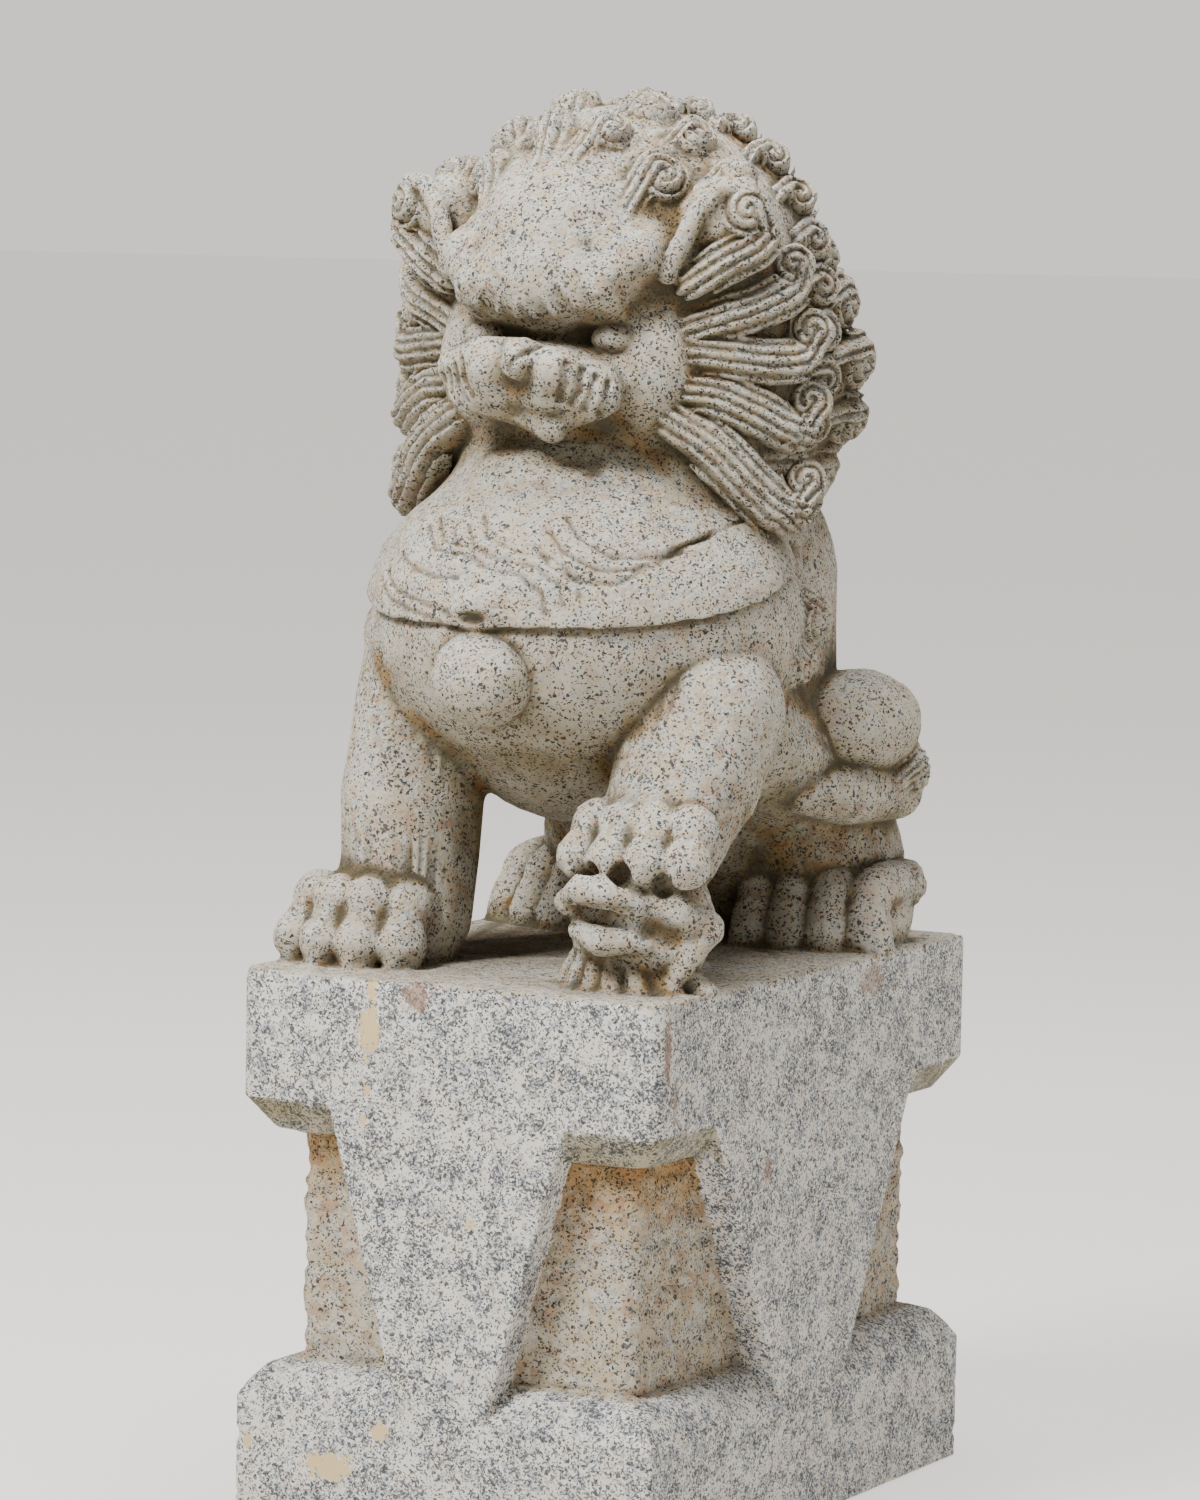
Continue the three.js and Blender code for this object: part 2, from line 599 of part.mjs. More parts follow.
function surfaceOf(field, low, high, step) {
  const counts = [0, 1, 2].map((i) => Math.ceil((high[i] - low[i]) / step) + 1);
  const [nx, ny, nz] = counts;
  const values = new Float32Array(nx * ny * nz);
  const indexOf = (i, j, k) => i + nx * (j + ny * k);
  for (let k = 0; k < nz; k += 1) {
    for (let j = 0; j < ny; j += 1) {
      for (let i = 0; i < nx; i += 1) {
        const value = field(low[0] + i * step, low[1] + j * step, low[2] + k * step);
        values[indexOf(i, j, k)] = Math.abs(value) < NEVER_ZERO ? NEVER_ZERO : value;
      }
    }
  }
  const pointOf = (index) => [
    low[0] + (index % nx) * step,
    low[1] + (Math.floor(index / nx) % ny) * step,
    low[2] + Math.floor(index / (nx * ny)) * step,
  ];
  const points = [];
  const triangles = [];
  const edgePoint = new Map();
  const onEdge = (a, b) => {
    const key = a < b ? a * values.length + b : b * values.length + a;
    if (!edgePoint.has(key)) {
      const t = values[a] / (values[a] - values[b]);
      edgePoint.set(key, points.length);
      points.push(mix(pointOf(a), pointOf(b), t));
    }
    return edgePoint.get(key);
  };
  const emit = (a, b, c, outwards) => {
    const normal = cross(sub(points[b], points[a]), sub(points[c], points[a]));
    if (dot(normal, outwards) >= 0) triangles.push([a, b, c]);
    else triangles.push([a, c, b]);
  };
  const split = (corners) => {
    const inside = corners.filter((c) => values[c] < 0);
    const outside = corners.filter((c) => values[c] >= 0);
    if (inside.length === 0 || outside.length === 0) return;
    const mean = (list) => scale(list.map(pointOf).reduce(add), 1 / list.length);
    const outwards = sub(mean(outside), mean(inside));
    if (inside.length === 2) {
      const [a, b] = inside;
      const [c, d] = outside;
      const quad = [onEdge(a, c), onEdge(a, d), onEdge(b, d), onEdge(b, c)];
      emit(quad[0], quad[1], quad[2], outwards);
      emit(quad[0], quad[2], quad[3], outwards);
      return;
    }
    const single = inside.length === 1 ? inside[0] : outside[0];
    const others = corners.filter((c) => c !== single);
    emit(...others.map((c) => onEdge(single, c)), outwards);
  };
  for (let k = 0; k + 1 < nz; k += 1) {
    for (let j = 0; j + 1 < ny; j += 1) {
      for (let i = 0; i + 1 < nx; i += 1) {
        const corners = CELL_CORNERS.map((c) => indexOf(i + (c & 1), j + ((c >> 1) & 1), k + (c >> 2)));
        const insideCount = corners.filter((c) => values[c] < 0).length;
        if (insideCount === 0 || insideCount === corners.length) continue;
        for (const tetrahedron of CELL_TETRAHEDRA) split(tetrahedron.map((c) => corners[c]));
      }
    }
  }
  return { points, triangles };
}

// Fewer triangles: the edge whose removal moves the surface least goes first. The planes round a point
// are summed up in the ten numbers of their squared distance.

const PLANE_NUMBERS = 10;
const STEADY_DETERMINANT = 1e-4;
const REACH_OF_BEST_POINT = 1.5;
const LENGTH_COST = 1e-3;
const NO_AREA = 1e-9;
const LEAST_AREA = 1e-2;
const LEAST_COSINE = 0.25;

function planeError(q, p) {
  const [x, y, z] = p;
  return q[0] * x * x + 2 * q[1] * x * y + 2 * q[2] * x * z + 2 * q[3] * x
    + q[4] * y * y + 2 * q[5] * y * z + 2 * q[6] * y
    + q[7] * z * z + 2 * q[8] * z + q[9];
}

function bestPoint(q, a, b) {
  const m = new THREE.Matrix3().set(q[0], q[1], q[2], q[1], q[4], q[5], q[2], q[5], q[7]);
  const candidates = [a, b, mix(a, b, 0.5)];
  const size = q[0] + q[4] + q[7];
  if (Math.abs(m.determinant()) > STEADY_DETERMINANT * size ** 3) {
    const v = new THREE.Vector3(-q[3], -q[6], -q[8]).applyMatrix3(m.invert());
    const best = [v.x, v.y, v.z];
    const reach = Math.hypot(...sub(a, b)) * REACH_OF_BEST_POINT;
    if (Math.hypot(...sub(best, mix(a, b, 0.5))) < reach) candidates.push(best);
  }
  let chosen = candidates[0];
  for (const p of candidates) if (planeError(q, p) < planeError(q, chosen)) chosen = p;
  return chosen;
}

function simplified({ points, triangles }, target) {
  const quadrics = points.map(() => new Float64Array(PLANE_NUMBERS));
  const around = points.map(() => new Set());
  const faces = triangles.map((t) => [...t]);
  const alive = faces.map(() => true);
  const version = points.map(() => 0);
  const normalOf = (f, moved, to) => {
    const [a, b, c] = f.map((v) => (moved.includes(v) ? to : points[v]));
    return cross(sub(b, a), sub(c, a));
  };
  faces.forEach((f, index) => {
    const n = normalOf(f, [], null);
    const area = Math.hypot(...n);
    f.forEach((v) => around[v].add(index));
    if (area < NO_AREA) return;
    const [x, y, z] = scale(n, 1 / area);
    const w = -dot([x, y, z], points[f[0]]);
    const parts = [x * x, x * y, x * z, x * w, y * y, y * z, y * w, z * z, z * w, w * w];
    f.forEach((v) => parts.forEach((part, i) => { quadrics[v][i] += part * area; }));
  });
  const heap = [];
  const push = (item) => {
    let i = heap.push(item) - 1;
    while (i > 0) {
      const parent = (i - 1) >> 1;
      if (heap[parent].cost <= heap[i].cost) break;
      [heap[parent], heap[i]] = [heap[i], heap[parent]];
      i = parent;
    }
  };
  const pop = () => {
    const top = heap[0];
    const last = heap.pop();
    if (heap.length === 0) return top;
    heap[0] = last;
    let i = 0;
    for (;;) {
      let child = 2 * i + 1;
      if (child >= heap.length) break;
      if (child + 1 < heap.length && heap[child + 1].cost < heap[child].cost) child += 1;
      if (heap[i].cost <= heap[child].cost) break;
      [heap[child], heap[i]] = [heap[i], heap[child]];
      i = child;
    }
    return top;
  };
  const neighbours = (v) => {
    const found = new Set();
    for (const f of around[v]) for (const other of faces[f]) if (other !== v) found.add(other);
    return found;
  };
  const offer = (a, b) => {
    const q = quadrics[a].map((value, i) => value + quadrics[b][i]);
    const to = bestPoint(q, points[a], points[b]);
    const edge = sub(points[a], points[b]);
    const cost = planeError(q, to) + LENGTH_COST * dot(edge, edge);
    push({ a, b, to, cost, versions: [version[a], version[b]] });
  };
  const turns = (v, gone, to) => {
    for (const index of around[v]) {
      const f = faces[index];
      if (f.includes(gone)) continue;
      const before = normalOf(f, [], null);
      const after = normalOf(f, [v], to);
      const lengths = Math.hypot(...before) * Math.hypot(...after);
      if (lengths > NO_AREA && dot(before, after) < LEAST_COSINE * lengths) return true;
      if (Math.hypot(...after) < LEAST_AREA) return true;
    }
    return false;
  };
  points.forEach((_, v) => { for (const other of neighbours(v)) if (other > v) offer(v, other); });
  let left = faces.length;
  while (left > target && heap.length > 0) {
    const { a, b, to, versions } = pop();
    if (versions[0] !== version[a] || versions[1] !== version[b]) continue;
    const shared = [...around[a]].filter((f) => around[b].has(f));
    const nearA = neighbours(a);
    const common = [...neighbours(b)].filter((v) => nearA.has(v));
    if (shared.length !== 2 || common.length !== 2) continue;
    if (turns(a, b, to) || turns(b, a, to)) continue;
    for (const index of shared) {
      alive[index] = false;
      faces[index].forEach((v) => around[v].delete(index));
      left -= 1;
    }
    for (const index of around[b]) {
      faces[index] = faces[index].map((v) => (v === b ? a : v));
      around[a].add(index);
    }
    around[b].clear();
    points[a] = to;
    quadrics[b].forEach((value, i) => { quadrics[a][i] += value; });
    version[a] += 1;
    version[b] = -1;
    const ring = neighbours(a);
    for (const v of ring) offer(a, v);
  }
  return { points, triangles: faces.filter((_, index) => alive[index]) };
}

// Closed meshes for joining

const SAME_POINT = 1e-4;
const wasm = await Module();
wasm.setup();

function solidFrom({ points, triangles }) {
  const used = new Map();
  const vertices = [];
  const corners = [];
  for (const triangle of triangles) {
    for (const v of triangle) {
      if (!used.has(v)) {
        used.set(v, used.size);
        vertices.push(...points[v]);
      }
      corners.push(used.get(v));
    }
  }
  return new wasm.Manifold(new wasm.Mesh({
    numProp: 3,
    vertProperties: new Float32Array(vertices),
    triVerts: new Uint32Array(corners),
  }));
}

function solidFromGeometry(geometry) {
  geometry.deleteAttribute('normal');
  geometry.deleteAttribute('uv');
  const merged = mergeVertices(geometry, SAME_POINT);
  return new wasm.Manifold(new wasm.Mesh({
    numProp: 3,
    vertProperties: new Float32Array(merged.attributes.position.array),
    triVerts: new Uint32Array(merged.index.array),
  }));
}

// Plinth: rectangular rings of the side profile, with the panels run through it both ways

function ringedBlock(profile) {
  const points = [];
  const triangles = [];
  for (const { setback, z } of profile) {
    const x = HALF_WIDTH - setback;
    const y = HALF_DEPTH - setback;
    points.push([x, -y, z], [x, y, z], [-x, y, z], [-x, -y, z]);
  }
  for (let ring = 0; ring + 1 < profile.length; ring += 1) {
    for (let corner = 0; corner < 4; corner += 1) {
      const a = ring * 4 + corner;
      const b = ring * 4 + ((corner + 1) % 4);
      triangles.push([a, b, b + 4], [a, b + 4, a + 4]);
    }
  }
  const last = (profile.length - 1) * 4;
  triangles.push([0, 2, 1], [0, 3, 2], [last, last + 1, last + 2], [last, last + 2, last + 3]);
  return solidFrom({ points, triangles });
}

function panelThrough(panel, length, turn) {
  const outline = new THREE.Shape([
    new THREE.Vector2(-panel.bottomHalf, BASE_SLAB_TOP - PANEL_OVERLAP),
    new THREE.Vector2(panel.bottomHalf, BASE_SLAB_TOP - PANEL_OVERLAP),
    new THREE.Vector2(panel.bottomHalf, BASE_SLAB_TOP),
    new THREE.Vector2(panel.topHalf, TOP_BLOCK_BOTTOM),
    new THREE.Vector2(panel.topHalf, TOP_BLOCK_BOTTOM + PANEL_OVERLAP),
    new THREE.Vector2(-panel.topHalf, TOP_BLOCK_BOTTOM + PANEL_OVERLAP),
    new THREE.Vector2(-panel.topHalf, TOP_BLOCK_BOTTOM),
    new THREE.Vector2(-panel.bottomHalf, BASE_SLAB_TOP),
  ]);
  const geometry = new THREE.ExtrudeGeometry(outline, { depth: length, bevelEnabled: false });
  geometry.translate(0, 0, -length / 2);
  geometry.rotateX(Math.PI / 2);
  geometry.rotateZ(turn);
  return solidFromGeometry(geometry);
}

const plinth = ringedBlock(SIDE_PROFILE)
  .add(panelThrough(FRONT_PANEL, PLINTH_DEPTH, 0))
  .add(panelThrough(SIDE_PANEL, PLINTH_WIDTH, Math.PI / 2));

// The lion starts a little below the plinth's top, so that the two are one stone
const carvedField = (x, y, z) => Math.max(fieldAt(x, y, z), PLINTH_HEIGHT - SINK - z);

// The sampled box, with its bottom half a cell off the grid so that the flat cut falls inside cells
const MARGIN = 1.5 * MESH_STEP;
const LION_LOW = [-LION_HALF_WIDTH, -HALF_DEPTH, PLINTH_HEIGHT - SINK].map((low) => low - MARGIN);
const LION_HIGH = [LION_HALF_WIDTH, HALF_DEPTH, LION_TOP].map((high) => high + MARGIN);
const lionSurface = surfaceOf(carvedField, LION_LOW, LION_HIGH, MESH_STEP);
const lion = solidFrom(simplified(lionSurface, LION_TRIANGLES));
const statue = plinth.add(lion);

function geometryFrom(solid) {
  const { vertProperties, triVerts } = solid.getMesh();
  const geometry = new THREE.BufferGeometry();
  geometry.setAttribute('position', new THREE.BufferAttribute(new Float32Array(vertProperties), 3));
  geometry.setIndex(new THREE.BufferAttribute(new Uint32Array(triVerts), 1));
  geometry.computeVertexNormals();
  return geometry;
}

// Speckled pale grey granite
const granite = new THREE.MeshStandardMaterial({ color: 0xc9c6bd, roughness: 0.85, metalness: 0 });

const statueMesh = new THREE.Mesh(geometryFrom(statue), granite);
statueMesh.name = 'guardian_lion_statue';

const part = new THREE.Group();
part.add(statueMesh);

export default part;
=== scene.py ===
import math

import bpy
import numpy as np
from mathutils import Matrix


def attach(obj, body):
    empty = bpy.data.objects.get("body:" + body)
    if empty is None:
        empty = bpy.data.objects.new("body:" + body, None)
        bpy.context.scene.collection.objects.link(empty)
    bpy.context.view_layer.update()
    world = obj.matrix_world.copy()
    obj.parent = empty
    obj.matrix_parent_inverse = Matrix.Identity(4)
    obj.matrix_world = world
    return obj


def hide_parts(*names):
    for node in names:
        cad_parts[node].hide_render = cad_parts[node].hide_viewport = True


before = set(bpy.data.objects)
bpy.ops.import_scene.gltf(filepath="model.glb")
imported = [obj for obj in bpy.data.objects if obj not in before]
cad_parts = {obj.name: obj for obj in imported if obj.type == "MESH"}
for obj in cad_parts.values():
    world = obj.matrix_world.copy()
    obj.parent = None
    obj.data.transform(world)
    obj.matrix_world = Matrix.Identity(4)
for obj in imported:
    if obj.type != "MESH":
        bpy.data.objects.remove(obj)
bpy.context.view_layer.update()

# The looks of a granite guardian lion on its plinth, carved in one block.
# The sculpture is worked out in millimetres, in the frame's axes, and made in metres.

import openvdb
from mathutils import Matrix, Vector

MM = 0.001
STEP = 1.1
FAR = 60.0
TRIANGLE_LIMIT = 196000

# Driving sizes of the plinth

PLINTH_WIDTH = 230.0
PLINTH_DEPTH = 330.0
PLINTH_HEIGHT = 272.0
HALF_WIDTH = PLINTH_WIDTH / 2
HALF_DEPTH = PLINTH_DEPTH / 2
BASE_SLAB_TOP = 63.0
TOP_BLOCK_BOTTOM = 209.5
WAIST_SETBACK = 22.0
WAIST_LOW = 82.0
WAIST_HIGH = 190.5
SIDE_PROFILE = [
    (0.0, 0.0),
    (0.0, BASE_SLAB_TOP),
    (5.0, 71.0),
    (11.0, 78.0),
    (WAIST_SETBACK, WAIST_LOW),
    (WAIST_SETBACK, WAIST_HIGH),
    (11.0, 193.5),
    (0.0, TOP_BLOCK_BOTTOM),
    (0.0, PLINTH_HEIGHT),
]
FRONT_PANEL = {"top_half": 65.0, "bottom_half": 24.0}
SIDE_PANEL = {"top_half": 107.0, "bottom_half": 33.0}
LION_TOP = 697.0
LION_HALF_WIDTH = 128.0

SINK = 8.0

# Every form has a blend: how widely it flows into the stone before it. A form that is cut takes stone away.

# Head and mane

MANE_CENTRE = (0, 12, 585)
MANE_FORMS = [
    {"centre": (0, 0, 609), "radii": (91, 73, 80)},
    {"centre": (0, 44, 562), "radii": (95, 72, 78)},
    {"centre": (0, -26, 582), "radii": (100, 33, 94)},
]
MANE_BLEND = 24.0

SKULL = {"centre": (0, -30, 620), "radii": (58, 58, 60), "blend": 16}
FOREHEAD = {"centre": (0, -56, 623), "radii": (47, 46, 40), "blend": 12}
THROAT = {"centre": (0, -24, 520), "radii": (60, 48, 44), "blend": 16}
SNOUT = {"centre": (0, -70, 556), "radii": (46, 38, 21), "blend": 10}
CHEEK = {"centre": (44, -52, 564), "radii": (27, 30, 36), "blend": 10}
BROW = {"middle": (2, -88, 604), "points": [(30, -87, 602), (47, -79, 616)], "radii": [16, 16, 11],
        "blend": 16}
BROW_HOLLOW = {"middle": (2, -99, 579), "points": [(42, -94, 577)], "radii": [7, 7], "blend": 3, "cut": True}
EYELID = {"points": [(24, -95, 571), (32, -95, 567), (44, -91, 569), (51, -86, 580), (55, -82, 594)],
          "radius": 3, "blend": 3, "cut": True}
EYE_SOCKET = {"centre": (37, -99, 580), "radii": (17, 14, 11), "blend": 3, "cut": True}
EYE = {"centre": (35, -79.5, 577), "radii": (10, 8, 6.5), "blend": 1.5}
JAW = {"centre": (0, -72, 507), "radii": (37, 29, 15), "blend": 8}
NOSTRILS = [
    {"centre": (21, -109, 562), "radius": 10, "blend": 6},
    {"centre": (-15, -109, 562), "radius": 10, "blend": 6},
]
LIP_PAD = {"points": [(14, -99, 553), (32, -95, 551)], "radii": [13, 12], "blend": 8}
MUZZLE_RIM = {"points": [(-42, -94, 562), (-20, -105, 568), (4, -108, 567), (22, -104, 563), (38, -93, 556)],
              "radii": [9, 9, 9.5, 9, 8.5], "blend": 5}
NOSE = {"centre": (4, -112, 567), "radii": (8.5, 13, 10), "blend": 2}
MOUTH = {"points": [(-33, -94, 536), (6, -98, 527), (32, -92, 525)], "radii": [6, 10, 14],
         "blend": 3, "cut": True}
LIP_EDGES = [
    {"points": [(-32, -95, 549), (13, -98, 534)], "radii": [7, 5], "blend": 5},
    {"points": [(39, -92, 549), (13, -98, 534)], "radii": [7, 5], "blend": 5},
    {"points": [(3.5, -93.5, 549), (13, -98, 534)], "radii": [11, 5], "blend": 6},
]
EAR_BODY = {"centre": (76, -40, 636), "radii": (20, 23, 20), "blend": 6}
EAR_HOLLOW = {"points": [(67, -76, 620), (76, -73, 634), (86, -66, 645)], "radius": 5,
              "blend": 3, "cut": True}
EAR_RIM = {"points": [(60, -70, 608), (65, -68, 621), (72, -64, 638), (82, -59, 649), (93, -54, 650)],
           "radius": 4.8, "blend": 3}

# Fine lines of the face, as (x, z) points on its front
NOSE_LINES = [[(-7, 575), (-3, 569), (1, 562)], [(14, 574), (9, 568), (4, 562)]]
NOSE_LINE_RADIUS = 1.8
WHISKERS = {"count": 4, "top": (30, 566), "bottom": (24, 549), "step": (5, -3), "bend": (2, -1),
            "radius": 2.2}
# The tufts stand in a row along the brow's lower edge, which climbs to the sides
BROW_TUFTS = {"count": 5, "spacing": 11, "front": -104, "low": 584, "climb": 24, "half_row": 50,
              "length": 11, "lean": 0.9, "slant": 3, "radii": [2.1, 1.05], "blend": 2}

# A lock has strands in grooves. It ends in a spiral whose eye lies beside the lock's own line, by a share of
# its width there. A taper gives the width from root to end, as shares of the full width or the radius.
STRAND = 5.0
STRAND_DEPTH = 2.4
GROOVE_SHARPNESS = 1.15
LOCK_OFFSET = 0.8
LOCK_FLATNESS = 0.8
SPIRAL_BLEND = 3

# Each front lock leaves the cheek, sags and hooks up round the eye of its spiral. The first lies in the ear.
FRONT_LOCKS = [
    {"run": [(68, -60, 604), (82, -54, 614), (97, -46, 625)], "eye": (93, -53, 639),
     "width": 12, "radius": 13},
    {"run": [(64, -56, 582), (80, -46, 588), (94, -37, 594), (104, -27, 602)], "eye": (104, -26, 614),
     "width": 12.5, "radius": 10},
    {"run": [(64, -56, 571), (80, -47, 569), (97, -35, 567), (108, -24, 569)], "eye": (111, -19, 583),
     "width": 13, "radius": 11},
    {"run": [(62, -57, 553), (78, -48, 550), (93, -38, 542), (106, -26, 535)], "eye": (111, -19, 549),
     "width": 14, "radius": 11.5},
    {"run": [(60, -59, 538), (76, -51, 526), (92, -40, 507), (104, -29, 496)], "eye": (110, -20, 511),
     "width": 15, "radius": 12.5},
]
FRONT_LOCK = {"facing": (0.55, -0.82, 0.1), "taper": (0.75, 1, 0.95, 0.5), "blend": 1.5}

# Rings of curls round the face axis: tilt from the axis and turn from the lion's left, in degrees. The tail
# of a curl starts a little nearer to the face.
CURL_RINGS = [
    {"tilt": 97, "from": -42, "to": 222, "count": 21, "radius": 13, "lean": 0.8},
    {"tilt": 115, "from": -44, "to": 224, "count": 17, "radius": 14, "lean": 0.4},
    {"tilt": 133, "from": -38, "to": 218, "count": 12, "radius": 15, "lean": 0},
    {"tilt": 151, "from": -30, "to": 210, "count": 7, "radius": 16, "lean": 0},
    {"tilt": 168, "from": 0, "to": 180, "count": 3, "radius": 17, "lean": 0},
]
RING_CURL = {"tail": 13, "rise": 2, "tail_rise": 1, "taper": (0.45, 0.6), "flatness": 0.8, "blend": 1.5}
TOP_TURN = 90

# Curls on the crown, on both sides: where the spiral lies and where its tail starts
CROWN_CURLS = [
    {"curl": (19, -54, 676), "tail": (6, -82, 650), "radius": 12},
    {"curl": (50, -58, 655), "tail": (40, -82, 636), "radius": 13},
    {"curl": (24, -23, 693), "tail": (14, -38, 688), "radius": 14},
    {"curl": (54, -30, 676), "tail": (44, -44, 672), "radius": 12},
    {"curl": (78, -34, 654), "tail": (72, -48, 646), "radius": 12},
]
CROWN_CURL = {"rise": 3, "tail_sink": 0.8, "eye_sink": 0.2, "taper": (0.5, 0.7), "flatness": 0.6,
              "strand": 4.8, "depth": 2.2, "blend": 2}

# Body and limbs

CHEST = {"centre": (0, -50, 438), "radii": (97, 89, 80)}
SHOULDER = {"centre": (72, -32, 438), "radii": (37, 52, 54)}
CHEST_BLEND = 20
NECK = {"centre": (0, 0, 500), "radii": (78, 84, 60), "blend": 24}
BACK = {"points": [(0, 50, 450), (0, 78, 366)], "radii": [84, 72], "blend": 24}
FLANK = {"points": [(60, 12, 382), (57, 88, 354)], "radii": [32, 34], "blend": 16}
BELLY = {"centre": (0, -26, 388), "radii": (70, 72, 50), "blend": 14}
RUMP = {"centre": (0, 104, 322), "radii": (62, 46, 62), "blend": 20}
TAIL = {"centre": (0, 134, 400), "radii": (34, 20, 82), "blend": 12}
TAIL_CURLS = {"count": 3, "low": 372, "gap": 34, "aside": 19, "back": 144, "radius": 15, "root_aside": 5.7,
              "root_back": 142, "taper": (0.7, 0.8), "facing": (0.2, 1, 0.1), "flatness": 0.9, "blend": 4}

BIB = {"rise": 3.5, "front": -146.0, "low": 441.0, "climb": 36.0, "edge": 1.5, "groove": 1.6,
       "groove_rise": 0.5, "blend": 2, "groove_blend": 1}
BUCKLE = {"centre": (-2, -137, 449), "radii": (14, 9, 11), "blend": 3}
BUCKLE_SLOT = {"centre": (-2, -147, 444), "radii": (10, 6, 4.5), "blend": 2, "cut": True}
BELL = {"centre": (-1, -133, 416), "radii": (25, 25, 23), "blend": 1.5}

# Incised hair on the bib, as (x, z) points on its front, each drawn several times a little to one side
HAIR_LINES = [
    {"points": [(-74, 459), (-60, 450), (-38, 445), (-18, 441)], "count": 2, "step": (4, 5)},
    {"points": [(-58, 472), (-46, 466), (-30, 463), (-14, 463)], "count": 1, "step": (0, 0)},
    {"points": [(-24, 484), (-17, 475), (0, 469), (18, 466), (31, 458), (34, 449)],
     "count": 3, "step": (7, 4)},
    {"points": [(22, 480), (32, 471), (48, 463), (62, 463), (74, 472), (80, 480)],
     "count": 3, "step": (5, 6)},
    {"points": [(-44, 486), (-34, 476), (-18, 474)], "count": 2, "step": (5, 4)},
]
HAIR_LINE_RADIUS = 1.4
INCISED_BLEND = 1
INCISED_PARTS = 4

RIGHT_FORELEG = {"points": [(-70, -64, 420), (-71, -80, 350), (-69, -88, 295)], "radii": [34, 35, 32],
                 "blend": 7}
LEFT_FORELEG = {"points": [(80, -60, 400), (79, -75, 372), (77, -96, 342)], "radii": [38, 36, 30],
                "blend": 2}
SHOULDER_TUFTS = [
    {"root": (-88, -62, 448), "tip": (-100, -66, 430), "width": 10, "facing": (-1, 0, 0)},
    {"root": (92, -16, 462), "tip": (102, 4, 441), "width": 11, "facing": (1, 0, 0)},
    {"root": (90, -30, 446), "tip": (103, -12, 419), "width": 10, "facing": (1, 0, 0)},
    {"root": (-92, -10, 458), "tip": (-103, 6, 436), "width": 11, "facing": (-1, 0, 0)},
]
TUFT = {"taper": (0.7, 0.8), "strand": 3.8, "depth": 1.6, "blend": 4}

# A toe has a knuckle above and in from its tip; both lie on a bow across the paw. Its root, its waist below
# the knuckle and its end are shares of the radii of heel, knuckle and tip.
RIGHT_PAW = {"heel": (-76, -94, 290), "heel_radius": 31, "spread": 29, "bow": 9, "toes": 4,
             "tip": (-79, -124, 283), "knuckle": (-80, -110, 302), "tip_radius": 12, "knuckle_radius": 13}
LEFT_PAW = {"heel": (77, -100, 342), "heel_radius": 27, "spread": 29, "bow": 5, "toes": 4,
            "tip": (79, -128, 334), "knuckle": (78, -114, 348), "tip_radius": 11, "knuckle_radius": 13}
TOE = {"knuckle_spread": 0.86, "root": 0.6, "waist": 0.8, "end": 0.9, "heel_blend": 10, "blend": 3}
CLAW = {"offset": (0, -0.6, -0.5), "radius": 4.2, "blend": 2}

CUB_HEAD = {"centre": (76, -112, 303), "radii": (36, 28, 34), "blend": 4}
CUB_BEARD = {"locks": 7, "top": (70, -126, 292), "top_spread": 18, "top_sweep": 8, "foot": (74, -136, 272),
             "foot_spread": 38, "foot_sweep": 22, "radii": [6.5, 5.85], "blend": 2}
CUB_FEATURES = [
    {"points": [(93, -131, 317), (104, -125, 310), (112, -113, 303)], "radii": [5, 8, 7], "blend": 3},
    {"points": [(50, -136, 317), (62, -144, 321), (75, -145, 320), (87, -139, 314)], "radii": [5, 8, 8, 5],
     "blend": 4},
    {"points": [(55, -138, 300), (72, -145, 297), (90, -137, 297)], "radii": [4.5, 7, 5], "blend": 3},
    {"points": [(112, -113, 303), (107, -121, 291), (101, -126, 279)], "radii": [7, 6.5, 5], "blend": 3},
]
CUB_NOSTRIL = {"centre": (48, -132, 313), "radius": 7, "blend": 2}
CUB_MOUTH = {"points": [(58, -147, 311), (74, -151, 311), (88, -146, 310)], "radius": 4.2,
             "blend": 2, "cut": True}
CUB_CHEEK_HOLLOW = {"points": [(94, -138, 304), (103, -133, 299)], "radius": 6, "blend": 3, "cut": True}
CUB_EYES = [{"centre": centre, "radius": 6.5, "blend": 2, "cut": True}
            for centre in [(64, -140, 327), (80, -140, 328), (98, -132, 324)]]

LEG_CORE = {"centre": (60, 104, 336), "radii": (32, 46, 60), "blend": 12}
SHIN = {"centre": (72, 112, 312), "radii": (25, 38, 30), "blend": 8}
THIGH = {"centre": (83, 92, 384), "radii": (32, 43, 27), "blend": 3}
CALF = {"points": [(78, 42, 354), (88, 74, 352), (91, 122, 348)], "radii": [12, 18, 15], "blend": 2}
HIND_FOOT = {"centre": (72, 98, 284), "radii": (38, 36, 25), "blend": 6}
HOCK_TUFT = {"root": (96, 92, 350), "tip": (103, 120, 358), "width": 11, "facing": (1, 0.3, 0)}
HIND_HEEL = {"centre": (84, 110, 288), "radius": 22, "blend": 8}
HEEL_CURL = {"root": (96, 104, 292), "tip": (102, 124, 300), "width": 9, "facing": (1, 0.4, 0.3)}
# Each hind toe runs through points given by how far they lie to the side of and behind its place in the
# row, and by their height
HIND_TOES = {"count": 4, "first": (46, 64), "last": (101, 78), "bow": 4}
HIND_TOE = {"path": [(-4, 46, 301), (-2, 10, 301), (0, 0, 292), (1, -4, 278)], "radii": [12, 12, 11, 14],
            "blend": 2}

